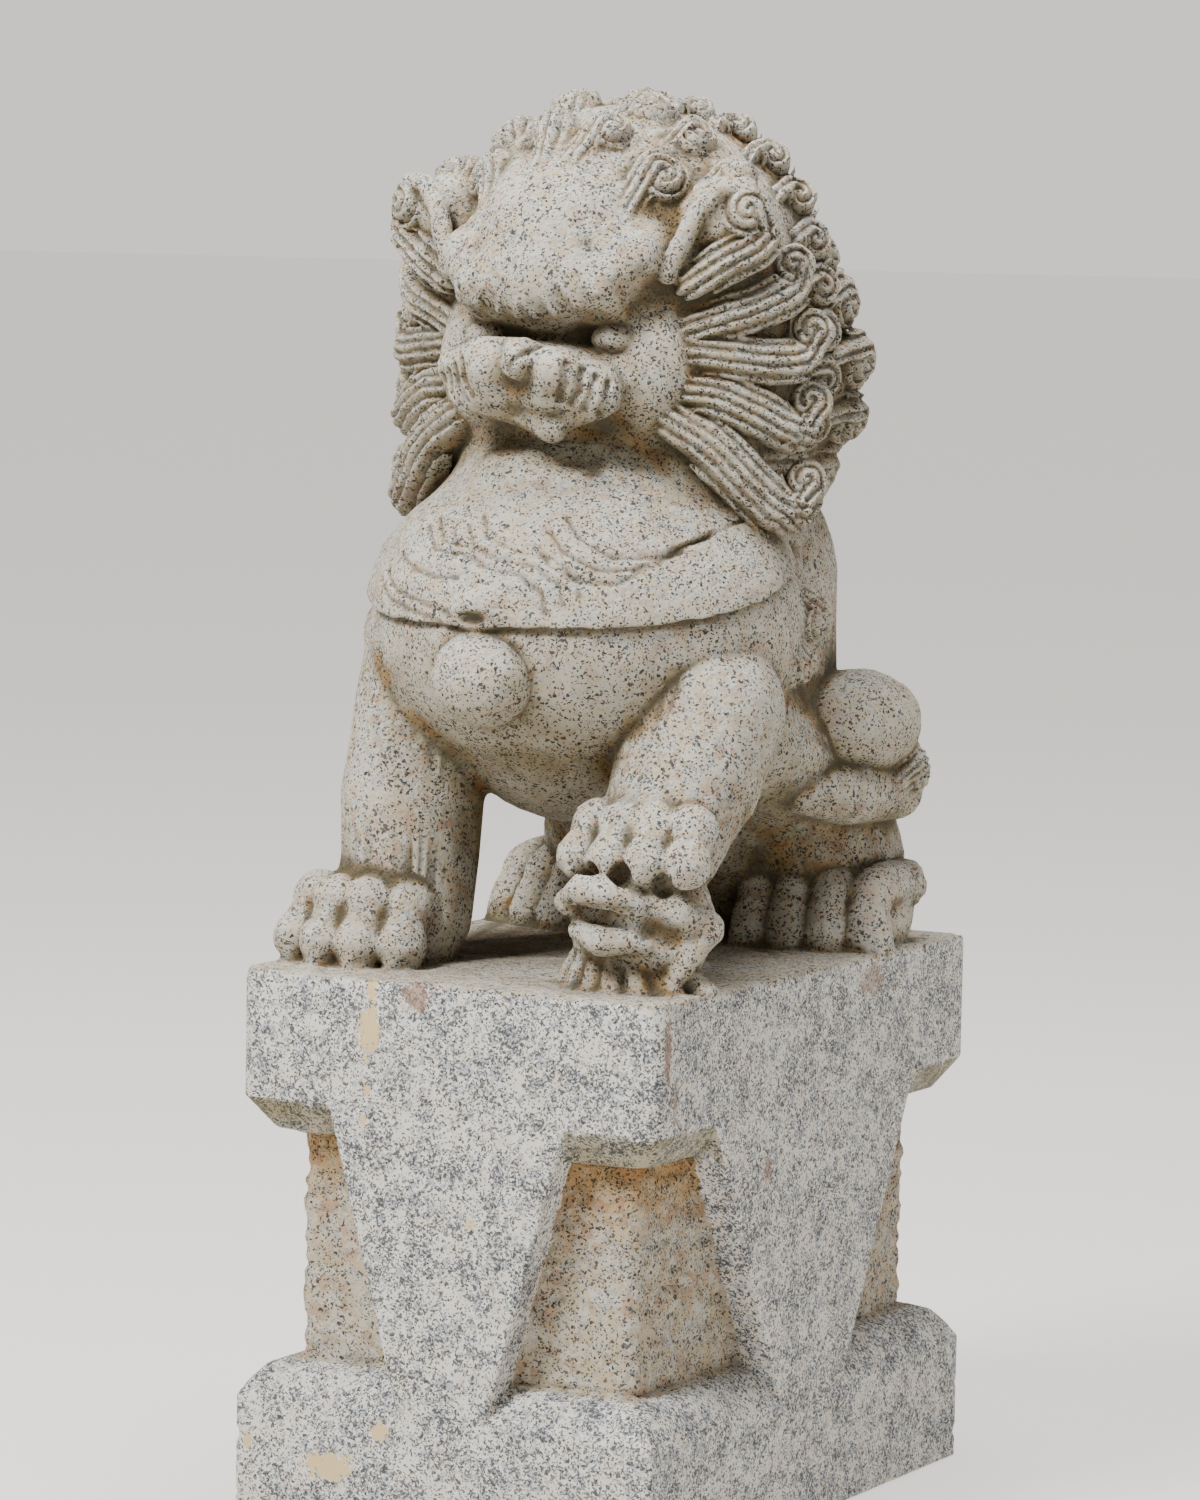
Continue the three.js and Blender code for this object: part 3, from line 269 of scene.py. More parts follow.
# Small breaks in the plinth's edges: centre and radius
CHIPS = [
    {"centre": (-34, -168, 275), "radius": 8},
    {"centre": (112, -168, 208), "radius": 6},
    {"centre": (-117, -167, 275), "radius": 9},
    {"centre": (-20, -167, 274), "radius": 4},
    {"centre": (114, 166, 274), "radius": 6},
    {"centre": (-116, 165, 66), "radius": 6},
]
CHIP_BLEND = 1.5
EDGE_CHIPS = {"count": 90, "smallest": 1.2, "largest": 3.0, "seed": 11}
CORNER_CHAMFER = 4.5
ARRIS = 1.6

# How far round the plinth its distances are worked out, and how widely the lion flows into its top
PLINTH_REACH = 12.0
FILLET = 5.0

# Tool marks: the carved surfaces are uneven, and the waist is pitched in rough level courses
NOISE_CELLS = 32
CARVED_ROUGHNESS = [{"size": 8.0, "height": 0.75, "seed": 1}, {"size": 3.6, "height": 0.5, "seed": 2}]
WAIST_ROUGHNESS = [
    {"size": (13.0, 13.0, 4.5), "height": 1.3, "seed": 3},
    {"size": (6.0, 6.0, 3.4), "height": 0.8, "seed": 4},
]

# Distances are kept to so many grid steps from the surface, and the waist is pitched in a thinner shell
BAND_STEPS = 3
SHELL_STEPS = 2.6
MARGIN_STEPS = 4

# Heights between which the surface is waist, looks down from the top block, or turns from plinth to lion
NEAR_WAIST = 5.0
WAIST_SPAN = (WAIST_LOW - 1, WAIST_HIGH + 1)
SOFFIT_SPAN = (WAIST_HIGH - 2, TOP_BLOCK_BOTTOM + 1)
SOFFIT_SLOPE = (0.2, 0.6)
SAWN_TOP = PLINTH_HEIGHT - 1.5
LION_FOOT = (PLINTH_HEIGHT - 1, PLINTH_HEIGHT + 2)

SHARP_ANGLE = 32.0
# Over how many neighbours a hollow is looked for, and how deep one is that counts in full
CREVICE_ROUNDS = 3
CREVICE_DEPTH = 0.6
FOLD_ROUNDS = 24
FOLD_DEPTH = 2.5

# Rays towards the sky: elevation in degrees and how many, and how far along each the stone is looked for
SKY_RINGS = ((20, 8), (50, 8), (75, 4))
SKY_REACHES = (6, 12, 24, 40, 64)
SKY_LIFT = 2

GRANITE = {
    "white": (0.64, 0.60, 0.51, 1),
    "cream": (0.60, 0.50, 0.35, 1),
    "pink": (0.56, 0.42, 0.30, 1),
    "sawn": (0.66, 0.67, 0.66, 1),
    "quartz": (0.30, 0.32, 0.35, 1),
    "mica": (0.020, 0.022, 0.028, 1),
    "worn": (0.76, 0.72, 0.62, 1),
    # The olive colour stands for olive stain together with painted shade
    "olive_stain_and_shade": (0.36, 0.31, 0.17, 1),
    # Near black for the painted shade and dirt in narrow grooves
    "crease_shade_and_dirt": (0.085, 0.072, 0.042, 1),
    "ochre": (0.80, 0.55, 0.27, 1),
    "straw": (0.90, 0.78, 0.58, 1),
    "putty": (0.62, 0.47, 0.24, 1),
    "rust": (0.22, 0.11, 0.06, 1),
}

# Putty in old breaks and rust streaks on the plinth: centre is (x or y, z) on its face
PATCHES = [
    {"face": "front", "centre": (-42, 247), "radii": (7, 13), "colour": "putty", "strength": 1.0},
    {"face": "front", "centre": (-41, 267), "radii": (3, 8), "colour": "putty", "strength": 1.0},
    {"face": "front", "centre": (-43, 219), "radii": (2, 3), "colour": "putty", "strength": 1.0},
    {"face": "front", "centre": (-45, 204), "radii": (2, 3), "colour": "putty", "strength": 1.0},
    {"face": "front", "centre": (-61, 34), "radii": (14, 7), "colour": "putty", "strength": 1.0},
    {"face": "front", "centre": (-33, 54), "radii": (5, 5), "colour": "putty", "strength": 1.0},
    {"face": "front", "centre": (-108, 41), "radii": (3, 5), "colour": "putty", "strength": 1.0},
    {"face": "front", "centre": (15, 160), "radii": (3, 3), "colour": "putty", "strength": 0.7},
    {"face": "front", "centre": (-16, 266), "radii": (9, 8), "colour": "rust", "strength": 0.7},
    {"face": "side", "centre": (-156, 250), "radii": (3, 18), "colour": "rust", "strength": 0.7},
    {"face": "side", "centre": (-148, 224), "radii": (2.5, 12), "colour": "rust", "strength": 0.5},
    {"face": "side", "centre": (56, 260), "radii": (14, 8), "colour": "rust", "strength": 0.55},
    {"face": "side", "centre": (-53, 181), "radii": (4, 7), "colour": "rust", "strength": 0.65},
]


# The field of distances to the stone's surface, on a grid

# How the field is searched for its slope, and for points on the surface
SLOPE_REACH = 1.5
SETTLE_ROUNDS = 6
FRONT_STEPS = 160
FRONT_STEP_LIMITS = (-2, 8)
FRONT_STEP_SHARE = 0.8
TINY = 1e-6


class Field:
    def __init__(self, low, high, step):
        self.low = np.array(low, dtype=np.float32)
        self.step = step
        self.counts = [int(math.ceil((high[i] - low[i]) / step)) + 1 for i in range(3)]
        self.axes = [self.low[i] + step * np.arange(self.counts[i], dtype=np.float32) for i in range(3)]
        self.values = np.full(self.counts, FAR, dtype=np.float32)

    def window(self, low, high):
        spans = []
        for i in range(3):
            first = int(math.floor((low[i] - self.low[i]) / self.step))
            last = int(math.ceil((high[i] - self.low[i]) / self.step)) + 1
            spans.append(slice(max(first, 0), min(last, self.counts[i])))
        return tuple(spans)

    def blend_in(self, form, blend, cut=False):
        margin = blend + 2 * self.step
        spans = self.window(form.low - margin, form.high + margin)
        if any(span.start >= span.stop for span in spans):
            return
        x = self.axes[0][spans[0]][:, None, None]
        y = self.axes[1][spans[1]][None, :, None]
        z = self.axes[2][spans[2]][None, None, :]
        distance = form.distance(x, y, z)
        block = self.values[spans]
        if cut:
            self.values[spans] = smooth_max(block, -distance, blend)
        else:
            self.values[spans] = smooth_min(block, distance, blend)

    def sample(self, points):
        cell = (np.asarray(points, dtype=np.float64) - self.low) / self.step
        top = np.array(self.counts) - 2
        corner = np.clip(np.floor(cell).astype(int), 0, top)
        t = np.clip(cell - corner, 0, 1)
        total = np.zeros(len(cell))
        for bits in range(8):
            offset = np.array([(bits >> i) & 1 for i in range(3)])
            weight = np.prod(np.where(offset, t, 1 - t), axis=1)
            i, j, k = (corner + offset).T
            total += weight * self.values[i, j, k]
        return total

    def nearest(self, points):
        cell = np.rint((points - self.low) / self.step).astype(int)
        i, j, k = np.clip(cell, 0, np.array(self.counts) - 1).T
        return self.values[i, j, k]

    def normal(self, points):
        slopes = []
        for i in range(3):
            offset = np.zeros(3)
            offset[i] = SLOPE_REACH
            slopes.append(self.sample(points + offset) - self.sample(points - offset))
        slopes = np.array(slopes).T
        return slopes / np.maximum(np.linalg.norm(slopes, axis=1, keepdims=True), TINY)

    def settle(self, points):
        # The points moved along the field's slope on to the surface
        points = np.array(points, dtype=float)
        for _ in range(SETTLE_ROUNDS):
            points = points - self.normal(points) * self.sample(points)[:, None]
        return points

    def front(self, flat_points):
        # The points met first when coming straight from the front at each (x, z)
        x, z = np.array(flat_points, dtype=float).T
        y = np.full(len(x), self.low[1])
        for _ in range(FRONT_STEPS):
            y = y + np.clip(self.sample(np.stack([x, y, z], axis=1)), *FRONT_STEP_LIMITS) * FRONT_STEP_SHARE
        return np.stack([x, y, z], axis=1)


def smooth_min(a, b, k):
    h = np.maximum(k - np.abs(a - b), 0) / k
    return np.minimum(a, b) - h * h * (k / 4)


def smooth_max(a, b, k):
    return -smooth_min(-a, -b, k)


def unit(v):
    v = np.asarray(v, dtype=float)
    return v / np.linalg.norm(v)


def mirrored(p):
    return (-p[0], p[1], p[2])


def same(p):
    return tuple(p)


SIDES = (same, mirrored)


# Parts of a curve between two of its points
CURVE_STEPS = 4


def curved(points):
    # The points with more between them, on a smooth curve through all of them
    p = [np.array(point, dtype=float) for point in points]
    p = [2 * p[0] - p[1], *p, 2 * p[-1] - p[-2]]
    dense = []
    for a, b, c, d in zip(p, p[1:], p[2:], p[3:]):
        for i in range(CURVE_STEPS):
            t = i / CURVE_STEPS
            dense.append(b + t / 2 * (c - a + t * (2 * a - 5 * b + 4 * c - d + t * (3 * b - a - 3 * c + d))))
    return [*dense, p[-2]]


def spread_out(values, count):
    # Values at the points of a run, worked out for the points of its curve
    places = np.linspace(0, count - 1, (count - 1) * CURVE_STEPS + 1)
    return np.interp(places, np.linspace(0, count - 1, len(values)), values).tolist()


# Forms: each has a box that holds it and gives the distance to its surface

class Ellipsoid:
    def __init__(self, centre, radii):
        self.centre = np.array(centre, dtype=np.float32)
        self.radii = np.array(radii, dtype=np.float32)
        self.low = self.centre - self.radii
        self.high = self.centre + self.radii

    def distance(self, x, y, z):
        px, py, pz = ((v - c) / r for v, c, r in zip((x, y, z), self.centre, self.radii))
        k0 = np.sqrt(px * px + py * py + pz * pz)
        qx, qy, qz = (p / r for p, r in zip((px, py, pz), self.radii))
        k1 = np.sqrt(qx * qx + qy * qy + qz * qz)
        return k0 * (k0 - 1) / np.maximum(k1, TINY)


def ball(centre, radius):
    return Ellipsoid(centre, (radius, radius, radius))


class Limb:
    # A run of points with the radius changing evenly between them
    def __init__(self, points, radii):
        self.points = [np.array(p, dtype=float) for p in points]
        self.radii = radii if isinstance(radii, (list, tuple)) else [radii] * len(points)
        reach = max(self.radii)
        self.low = np.min(self.points, axis=0) - reach
        self.high = np.max(self.points, axis=0) + reach

    def distance(self, x, y, z, outwards=None):
        # With outwards it also gives how far each place is to the side of the run
        nearest, aside = None, None
        for a, b, ra, rb in zip(self.points, self.points[1:], self.radii, self.radii[1:]):
            ab = b - a
            px, py, pz = x - a[0], y - a[1], z - a[2]
            t = np.clip((px * ab[0] + py * ab[1] + pz * ab[2]) / ab.dot(ab), 0, 1)
            dx, dy, dz = px - t * ab[0], py - t * ab[1], pz - t * ab[2]
            gap = np.sqrt(dx * dx + dy * dy + dz * dz) - ra - (rb - ra) * t
            if outwards is not None:
                side = unit(np.cross(ab, outwards))
                offset = dx * side[0] + dy * side[1] + dz * side[2]
                aside = offset if aside is None else np.where(gap < nearest, offset, aside)
            nearest = gap if nearest is None else np.minimum(nearest, gap)
        nearest = nearest.astype(np.float32)
        return nearest if outwards is None else (nearest, aside)


class Lock:
    # A lock of hair along a run of points that ends in a flat spiral round the last one. Its strands follow
    # the run, pass the spiral's eye on one side, go round it and wind in.
    def __init__(self, points, widths, radius, outwards, hand, flatness=LOCK_FLATNESS, strand=STRAND,
                 depth=STRAND_DEPTH):
        self.centre = np.array(points[-1], dtype=float)
        self.radius = radius
        self.outwards = unit(outwards)
        ahead = self.centre - np.array(points[-2], dtype=float)
        self.ahead = unit(ahead - self.outwards * ahead.dot(self.outwards))
        self.aside = np.cross(self.outwards, self.ahead) * hand
        self.offset = widths[-1] * LOCK_OFFSET
        end = self.centre + self.aside * self.offset
        self.run = Limb(curved([*points[:-1], end]), spread_out(widths, len(points)))
        self.flatness = flatness
        self.strand = strand
        self.depth = depth
        self.hand = hand
        self.low = np.minimum(self.run.low, self.centre - radius)
        self.high = np.maximum(self.run.high, self.centre + radius)

    def distance(self, x, y, z):
        band, across = self.run.distance(x, y, z, self.outwards)
        dx, dy, dz = (v - c for v, c in zip((x, y, z), self.centre))
        rise, forward, sideways = (dx * a[0] + dy * a[1] + dz * a[2]
                                   for a in (self.outwards, self.ahead, self.aside))
        out = np.sqrt(forward * forward + sideways * sideways)
        disc = (np.sqrt(out * out + (rise / self.flatness) ** 2) - self.radius) * self.flatness
        turn = np.arctan2(forward, sideways)
        turn = np.where(turn < -math.pi / 2, turn + 2 * math.pi, turn)
        spiral = out + self.strand * turn / (2 * math.pi)
        on_run = (forward < 0) & ((sideways > 0) | (out > self.radius))
        strand = np.where(on_run, self.offset - self.hand * across, spiral) / self.strand
        groove = self.depth * (0.5 - 0.5 * np.cos(2 * math.pi * strand)) ** GROOVE_SHARPNESS
        return (smooth_min(band, disc, SPIRAL_BLEND) + groove).astype(np.float32)


class Bib:
    # The skin of the chest above a border that climbs towards the back. As a groove, it is a narrow
    # band of the skin just below that border.
    def __init__(self, forms, groove=False):
        self.forms = forms
        self.groove = groove
        self.low = np.min([form.low for form in forms], axis=0) - BIB["rise"]
        self.high = np.max([form.high for form in forms], axis=0) + BIB["rise"]

    def distance(self, x, y, z):
        skin = None
        for form in self.forms:
            d = form.distance(x, y, z)
            skin = d if skin is None else smooth_min(skin, d, CHEST_BLEND)
        back = (y - BIB["front"]) / -BIB["front"]
        border = BIB["low"] + BIB["climb"] * back * back
        if self.groove:
            reach = np.hypot(z - border + BIB["groove"], skin - BIB["groove_rise"])
            return reach - BIB["groove"]
        return smooth_max(skin - BIB["rise"], border - z, BIB["edge"])


# The mane's surface is found by halving the way from its centre to a place well outside it
BEYOND_MANE = 200.0
BISECTIONS = 24


class Mane:
    def __init__(self):
        self.forms = [Ellipsoid(f["centre"], f["radii"]) for f in MANE_FORMS]

    def distance(self, p):
        total = None
        for form in self.forms:
            d = form.distance(*p)
            total = d if total is None else smooth_min(total, d, MANE_BLEND)
        return float(total)

    def surface(self, tilt, turn):
        a, b = math.radians(tilt), math.radians(turn)
        outwards = np.array([math.sin(a) * math.cos(b), -math.cos(a), math.sin(a) * math.sin(b)])
        inner, outer = 0.0, BEYOND_MANE
        for _ in range(BISECTIONS):
            middle = (inner + outer) / 2
            if self.distance(MANE_CENTRE + outwards * middle) < 0:
                inner = middle
            else:
                outer = middle
        return MANE_CENTRE + outwards * inner, outwards


# Sculpture, in the order it is built up

def add_form(field, form, side=same):
    # An ellipsoid, or a ball where there is one radius
    radii = form["radii"] if "radii" in form else (form["radius"],) * 3
    field.blend_in(Ellipsoid(side(form["centre"]), radii), form["blend"], form.get("cut", False))


def add_run(field, run, side=same):
    # A limb through its points, with one radius or one for each point
    limb = Limb([side(p) for p in run["points"]], run["radii"] if "radii" in run else run["radius"])
    field.blend_in(limb, run["blend"], run.get("cut", False))


def add_curved_run(field, points, run):
    field.blend_in(Limb(curved(points), spread_out(run["radii"], len(points))), run["blend"])


def add_arm(field, arm, side):
    # A limb from a point near the middle out to one side
    limb = Limb([arm["middle"], *(side(p) for p in arm["points"])], arm["radii"])
    field.blend_in(limb, arm["blend"], arm.get("cut", False))


def across_row(i, count):
    # The place from -1 to 1 of one of a row of things
    return i / (count - 1) * 2 - 1


def tapered(width, taper):
    return [width * share for share in taper]


def incise_front(field, flat_points, radius):
    # A groove in the front under (x, z) points
    dense = []
    for a, b in zip(flat_points, flat_points[1:]):
        for t in np.arange(INCISED_PARTS) / INCISED_PARTS:
            dense.append((a[0] + (b[0] - a[0]) * t, a[1] + (b[1] - a[1]) * t))
    dense.append(flat_points[-1])
    field.blend_in(Limb(field.front(dense), radius), INCISED_BLEND, cut=True)


def add_tuft(field, tuft, side=same):
    tip = side(tuft["tip"])
    hand = 1 if tip[0] > 0 else -1
    lock = Lock([side(tuft["root"]), tip], tapered(tuft["width"], TUFT["taper"]), tuft["width"],
                side(tuft["facing"]), hand, strand=TUFT["strand"], depth=TUFT["depth"])
    field.blend_in(lock, TUFT["blend"])


def add_mane(field):
    mane = Mane()
    for form in mane.forms:
        field.blend_in(form, MANE_BLEND)
    for ring in CURL_RINGS:
        for i in range(ring["count"]):
            turn = ring["from"] + (ring["to"] - ring["from"]) * i / (ring["count"] - 1)
            centre, outwards = mane.surface(ring["tilt"], turn)
            root, _ = mane.surface(ring["tilt"] - RING_CURL["tail"], turn)
            hand = 1 if turn < TOP_TURN else -1
            points = [root + outwards * RING_CURL["tail_rise"], centre + outwards * RING_CURL["rise"]]
            lock = Lock(points, tapered(ring["radius"], RING_CURL["taper"]), ring["radius"],
                        outwards - (0, ring["lean"], 0), hand, RING_CURL["flatness"])
            field.blend_in(lock, RING_CURL["blend"])


def add_body(field):
    chest_forms = [
        Ellipsoid(CHEST["centre"], CHEST["radii"]),
        Ellipsoid(SHOULDER["centre"], SHOULDER["radii"]),
        Ellipsoid(mirrored(SHOULDER["centre"]), SHOULDER["radii"]),
    ]
    for form in chest_forms:
        field.blend_in(form, CHEST_BLEND)
    field.blend_in(Bib(chest_forms), BIB["blend"])
    field.blend_in(Bib(chest_forms, groove=True), BIB["groove_blend"], cut=True)
    add_form(field, NECK)
    add_run(field, BACK)
    for side in SIDES:
        add_run(field, FLANK, side)
    for form in (BELLY, RUMP, TAIL):
        add_form(field, form)
    for i in range(TAIL_CURLS["count"]):
        z = TAIL_CURLS["low"] + i * TAIL_CURLS["gap"]
        for side in SIDES:
            tip = side((TAIL_CURLS["aside"], TAIL_CURLS["back"], z))
            root = side((TAIL_CURLS["root_aside"], TAIL_CURLS["root_back"], z - TAIL_CURLS["gap"]))
            hand = 1 if tip[0] > 0 else -1
            lock = Lock([root, tip], tapered(TAIL_CURLS["radius"], TAIL_CURLS["taper"]), TAIL_CURLS["radius"],
                        side(TAIL_CURLS["facing"]), hand, TAIL_CURLS["flatness"])
            field.blend_in(lock, TAIL_CURLS["blend"])


def add_hindquarters(field):
    for side in SIDES:
        for form in (LEG_CORE, SHIN, THIGH):
            add_form(field, form, side)
        add_curved_run(field, [side(p) for p in CALF["points"]], CALF)
        add_form(field, HIND_FOOT, side)
        add_tuft(field, HOCK_TUFT, side)
        add_form(field, HIND_HEEL, side)
        add_tuft(field, HEEL_CURL, side)
    first, last = HIND_TOES["first"], HIND_TOES["last"]
    for i in range(HIND_TOES["count"]):
        across = across_row(i, HIND_TOES["count"])
        x, y = (first[k] + (last[k] - first[k]) * (1 + across) / 2 for k in (0, 1))
        y -= HIND_TOES["bow"] * (1 - across * across)
        points = [(x + aside, y + behind, z) for aside, behind, z in HIND_TOE["path"]]
        for side in SIDES:
            add_curved_run(field, [side(p) for p in points], HIND_TOE)


def add_forelegs(field):
    for leg in (RIGHT_FORELEG, LEFT_FORELEG):
        add_run(field, leg)
    for tuft in SHOULDER_TUFTS:
        add_tuft(field, tuft)


def add_bib_details(field):
    for line in HAIR_LINES:
        for i in range(line["count"]):
            points = [(x + line["step"][0] * i, z + line["step"][1] * i) for x, z in line["points"]]
            incise_front(field, points, HAIR_LINE_RADIUS)
    for form in (BUCKLE, BUCKLE_SLOT, BELL):
        add_form(field, form)


def add_cub(field):
    add_form(field, CUB_HEAD)
    for i in range(CUB_BEARD["locks"]):
        across = across_row(i, CUB_BEARD["locks"])
        ends = []
        for end in ("top", "foot"):
            shift = (across * CUB_BEARD[end + "_spread"], across * across * CUB_BEARD[end + "_sweep"], 0)
            ends.append(np.array(CUB_BEARD[end], dtype=float) + shift)
        field.blend_in(Limb(ends, CUB_BEARD["radii"]), CUB_BEARD["blend"])
    for feature in CUB_FEATURES:
        add_run(field, feature)
    add_form(field, CUB_NOSTRIL)
    add_run(field, CUB_MOUTH)
    add_run(field, CUB_CHEEK_HOLLOW)


def add_paw(field, paw):
    field.blend_in(ball(paw["heel"], paw["heel_radius"]), TOE["heel_blend"])
    tips, knuckles = [], []
    for i in range(paw["toes"]):
        across = across_row(i, paw["toes"])
        bow = paw["bow"] * (1 - across * across)
        tips.append(np.array(paw["tip"], dtype=float) + (across * paw["spread"], -bow, 0))
        aside = across * paw["spread"] * TOE["knuckle_spread"]
        knuckles.append(np.array(paw["knuckle"], dtype=float) + (aside, -bow, 0))
    for knuckle in knuckles:
        radii = [paw["heel_radius"] * TOE["root"], paw["knuckle_radius"]]
        field.blend_in(Limb([paw["heel"], knuckle], radii), TOE["blend"])
    for tip, knuckle in zip(tips, knuckles):
        radii = [paw["knuckle_radius"] * TOE["waist"], paw["tip_radius"] * TOE["end"]]
        field.blend_in(Limb([knuckle, tip], radii), TOE["blend"])
        field.blend_in(ball(tip, paw["tip_radius"]), TOE["blend"])
        claw = tip + np.array(CLAW["offset"]) * paw["tip_radius"]
        field.blend_in(ball(claw, CLAW["radius"]), CLAW["blend"])


def add_paws(field):
    for paw in (RIGHT_PAW, LEFT_PAW):
        add_paw(field, paw)
    for eye in CUB_EYES:
        add_form(field, eye)


def add_head(field):
    for form in (SKULL, FOREHEAD, THROAT, SNOUT):
        add_form(field, form)
    for side in SIDES:
        add_form(field, CHEEK, side)
    for side in SIDES:
        add_arm(field, BROW, side)
    for side in SIDES:
        add_arm(field, BROW_HOLLOW, side)
        add_run(field, EYELID, side)
    for side in SIDES:
        add_form(field, EYE_SOCKET, side)
        add_form(field, EYE, side)
    add_form(field, JAW)
    for side, nostril in zip(SIDES, NOSTRILS):
        add_form(field, nostril)
        add_run(field, LIP_PAD, side)
    add_run(field, MUZZLE_RIM)
    add_form(field, NOSE)
    add_run(field, MOUTH)
    for edge in LIP_EDGES:
        add_run(field, edge)


def add_ears(field):
    for side in SIDES:
        add_form(field, EAR_BODY, side)
        add_run(field, EAR_HOLLOW, side)
        add_run(field, EAR_RIM, side)


def add_crown_curls(field):
    for side in SIDES:
        for curl in CROWN_CURLS:
            places = field.settle([side(curl["tail"]), side(curl["curl"])])
            outwards = field.normal(places[1:])[0]
            tail, centre = places + outwards * CROWN_CURL["rise"]
            radius = curl["radius"]
            hand = 1 if centre[0] > 0 else -1
            points = [tail - outwards * radius * CROWN_CURL["tail_sink"],
                      centre - outwards * radius * CROWN_CURL["eye_sink"]]
            lock = Lock(points, tapered(radius, CROWN_CURL["taper"]), radius, outwards, hand,
                        CROWN_CURL["flatness"], CROWN_CURL["strand"], CROWN_CURL["depth"])
            field.blend_in(lock, CROWN_CURL["blend"])


def add_front_locks(field):
    for side in SIDES:
        for lock in FRONT_LOCKS:
            hand = -1 if side(lock["eye"])[0] > 0 else 1
            points = [side(p) for p in (*lock["run"], lock["eye"])]
            form = Lock(points, tapered(lock["width"], FRONT_LOCK["taper"]), lock["radius"],
                        side(FRONT_LOCK["facing"]), hand)
            field.blend_in(form, FRONT_LOCK["blend"])


def add_face_lines(field):
    for line in NOSE_LINES:
        incise_front(field, line, NOSE_LINE_RADIUS)
    for side in SIDES:
        hand = side((1, 0, 0))[0]
        for i in range(WHISKERS["count"]):
            top, bottom = ((hand * (p[0] + WHISKERS["step"][0] * i), p[1] + WHISKERS["step"][1] * i)
                           for p in (WHISKERS["top"], WHISKERS["bottom"]))
            bend = ((top[0] + bottom[0]) / 2 + hand * WHISKERS["bend"][0],
                    (top[1] + bottom[1]) / 2 + WHISKERS["bend"][1])
            incise_front(field, [top, bend, bottom], WHISKERS["radius"])
        for i in range(BROW_TUFTS["count"]):
            x = BROW_TUFTS["spacing"] * (i + 0.5)
            low = BROW_TUFTS["low"] + (x / BROW_TUFTS["half_row"]) ** 2 * BROW_TUFTS["climb"]
            foot = side((x, BROW_TUFTS["front"], low))
            head = side((x * BROW_TUFTS["lean"] - BROW_TUFTS["slant"], BROW_TUFTS["front"],
                         low + BROW_TUFTS["length"]))
            field.blend_in(Limb(field.settle([foot, head]), BROW_TUFTS["radii"]), BROW_TUFTS["blend"])


# Plinth

def profile_distance(across, z):
    # Signed distance of (across, z) to the side profile, where across is the distance in from the face
    nearest = None
    for (s0, z0), (s1, z1) in zip(SIDE_PROFILE, SIDE_PROFILE[1:]):
        ds, dz = s1 - s0, z1 - z0
        t = np.clip(((across - s0) * ds + (z - z0) * dz) / (ds * ds + dz * dz), 0, 1)
        gap = np.sqrt((across - s0 - t * ds) ** 2 + (z - z0 - t * dz) ** 2)
        nearest = gap if nearest is None else np.minimum(nearest, gap)
    levels = [level for _, level in SIDE_PROFILE]
    setbacks = [setback for setback, _ in SIDE_PROFILE]
    inside = across > np.interp(z, levels, setbacks)
    return np.where(inside, -nearest, nearest)


def panel_distance(across, z, panel):
    slope = (panel["top_half"] - panel["bottom_half"]) / (TOP_BLOCK_BOTTOM - BASE_SLAB_TOP)
    half = panel["bottom_half"] + slope * (z - BASE_SLAB_TOP)
    return (np.abs(across) - half) / math.hypot(1, slope)


def edge_chips():
    # Seeded small breaks along the plinth's long edges
    draw = np.random.default_rng(EDGE_CHIPS["seed"])
    chips = list(CHIPS)
    for _ in range(EDGE_CHIPS["count"]):
        x = draw.choice([-HALF_WIDTH, HALF_WIDTH])
        y = draw.choice([-HALF_DEPTH, HALF_DEPTH])
        z = draw.choice([BASE_SLAB_TOP, TOP_BLOCK_BOTTOM, PLINTH_HEIGHT])
        place = [(draw.uniform(-1, 1) * HALF_WIDTH, y, z), (x, draw.uniform(-1, 1) * HALF_DEPTH, z),
                 (x, y, draw.uniform(0, PLINTH_HEIGHT))][draw.integers(3)]
        chips.append({"centre": place, "radius": draw.uniform(EDGE_CHIPS["smallest"], EDGE_CHIPS["largest"])})
    return chips


def add_plinth(field):
    spans = field.window((-HALF_WIDTH - PLINTH_REACH, -HALF_DEPTH - PLINTH_REACH, -PLINTH_REACH),
                         (HALF_WIDTH + PLINTH_REACH, HALF_DEPTH + PLINTH_REACH, PLINTH_HEIGHT + PLINTH_REACH))
    x = field.axes[0][spans[0]][:, None, None]
    y = field.axes[1][spans[1]][None, :, None]
    z = field.axes[2][spans[2]][None, None, :]
    in_x = HALF_WIDTH - np.abs(x)
    in_y = HALF_DEPTH - np.abs(y)
    ends = np.maximum(-z, z - PLINTH_HEIGHT)
    waist = smooth_max(profile_distance(in_x, z), profile_distance(in_y, z), ARRIS)
    setback = np.interp(z, *zip(*[(level, depth) for depth, level in SIDE_PROFILE]))
    waist = smooth_max(waist, np.where(z > WAIST_LOW, corner_distance(in_x, in_y, setback), -FAR), ARRIS)
    outer = smooth_max(-in_y, -in_x, ARRIS)
    front = smooth_max(outer, panel_distance(x, z, FRONT_PANEL), ARRIS)
    side = smooth_max(outer, panel_distance(y, z, SIDE_PANEL), ARRIS)
    block = np.minimum(np.minimum(waist, front), side)
    block = smooth_max(block, ends, ARRIS).astype(np.float32)
    field.values[spans] = smooth_min(field.values[spans], block, FILLET)
    for chip in edge_chips():
        field.blend_in(ball(chip["centre"], chip["radius"]), CHIP_BLEND, cut=True)


def corner_distance(in_x, in_y, setback):
    # Signed distance to the chamfers that cut the four upright corners
    return (CORNER_CHAMFER - (in_x - setback) - (in_y - setback)) / math.sqrt(2)


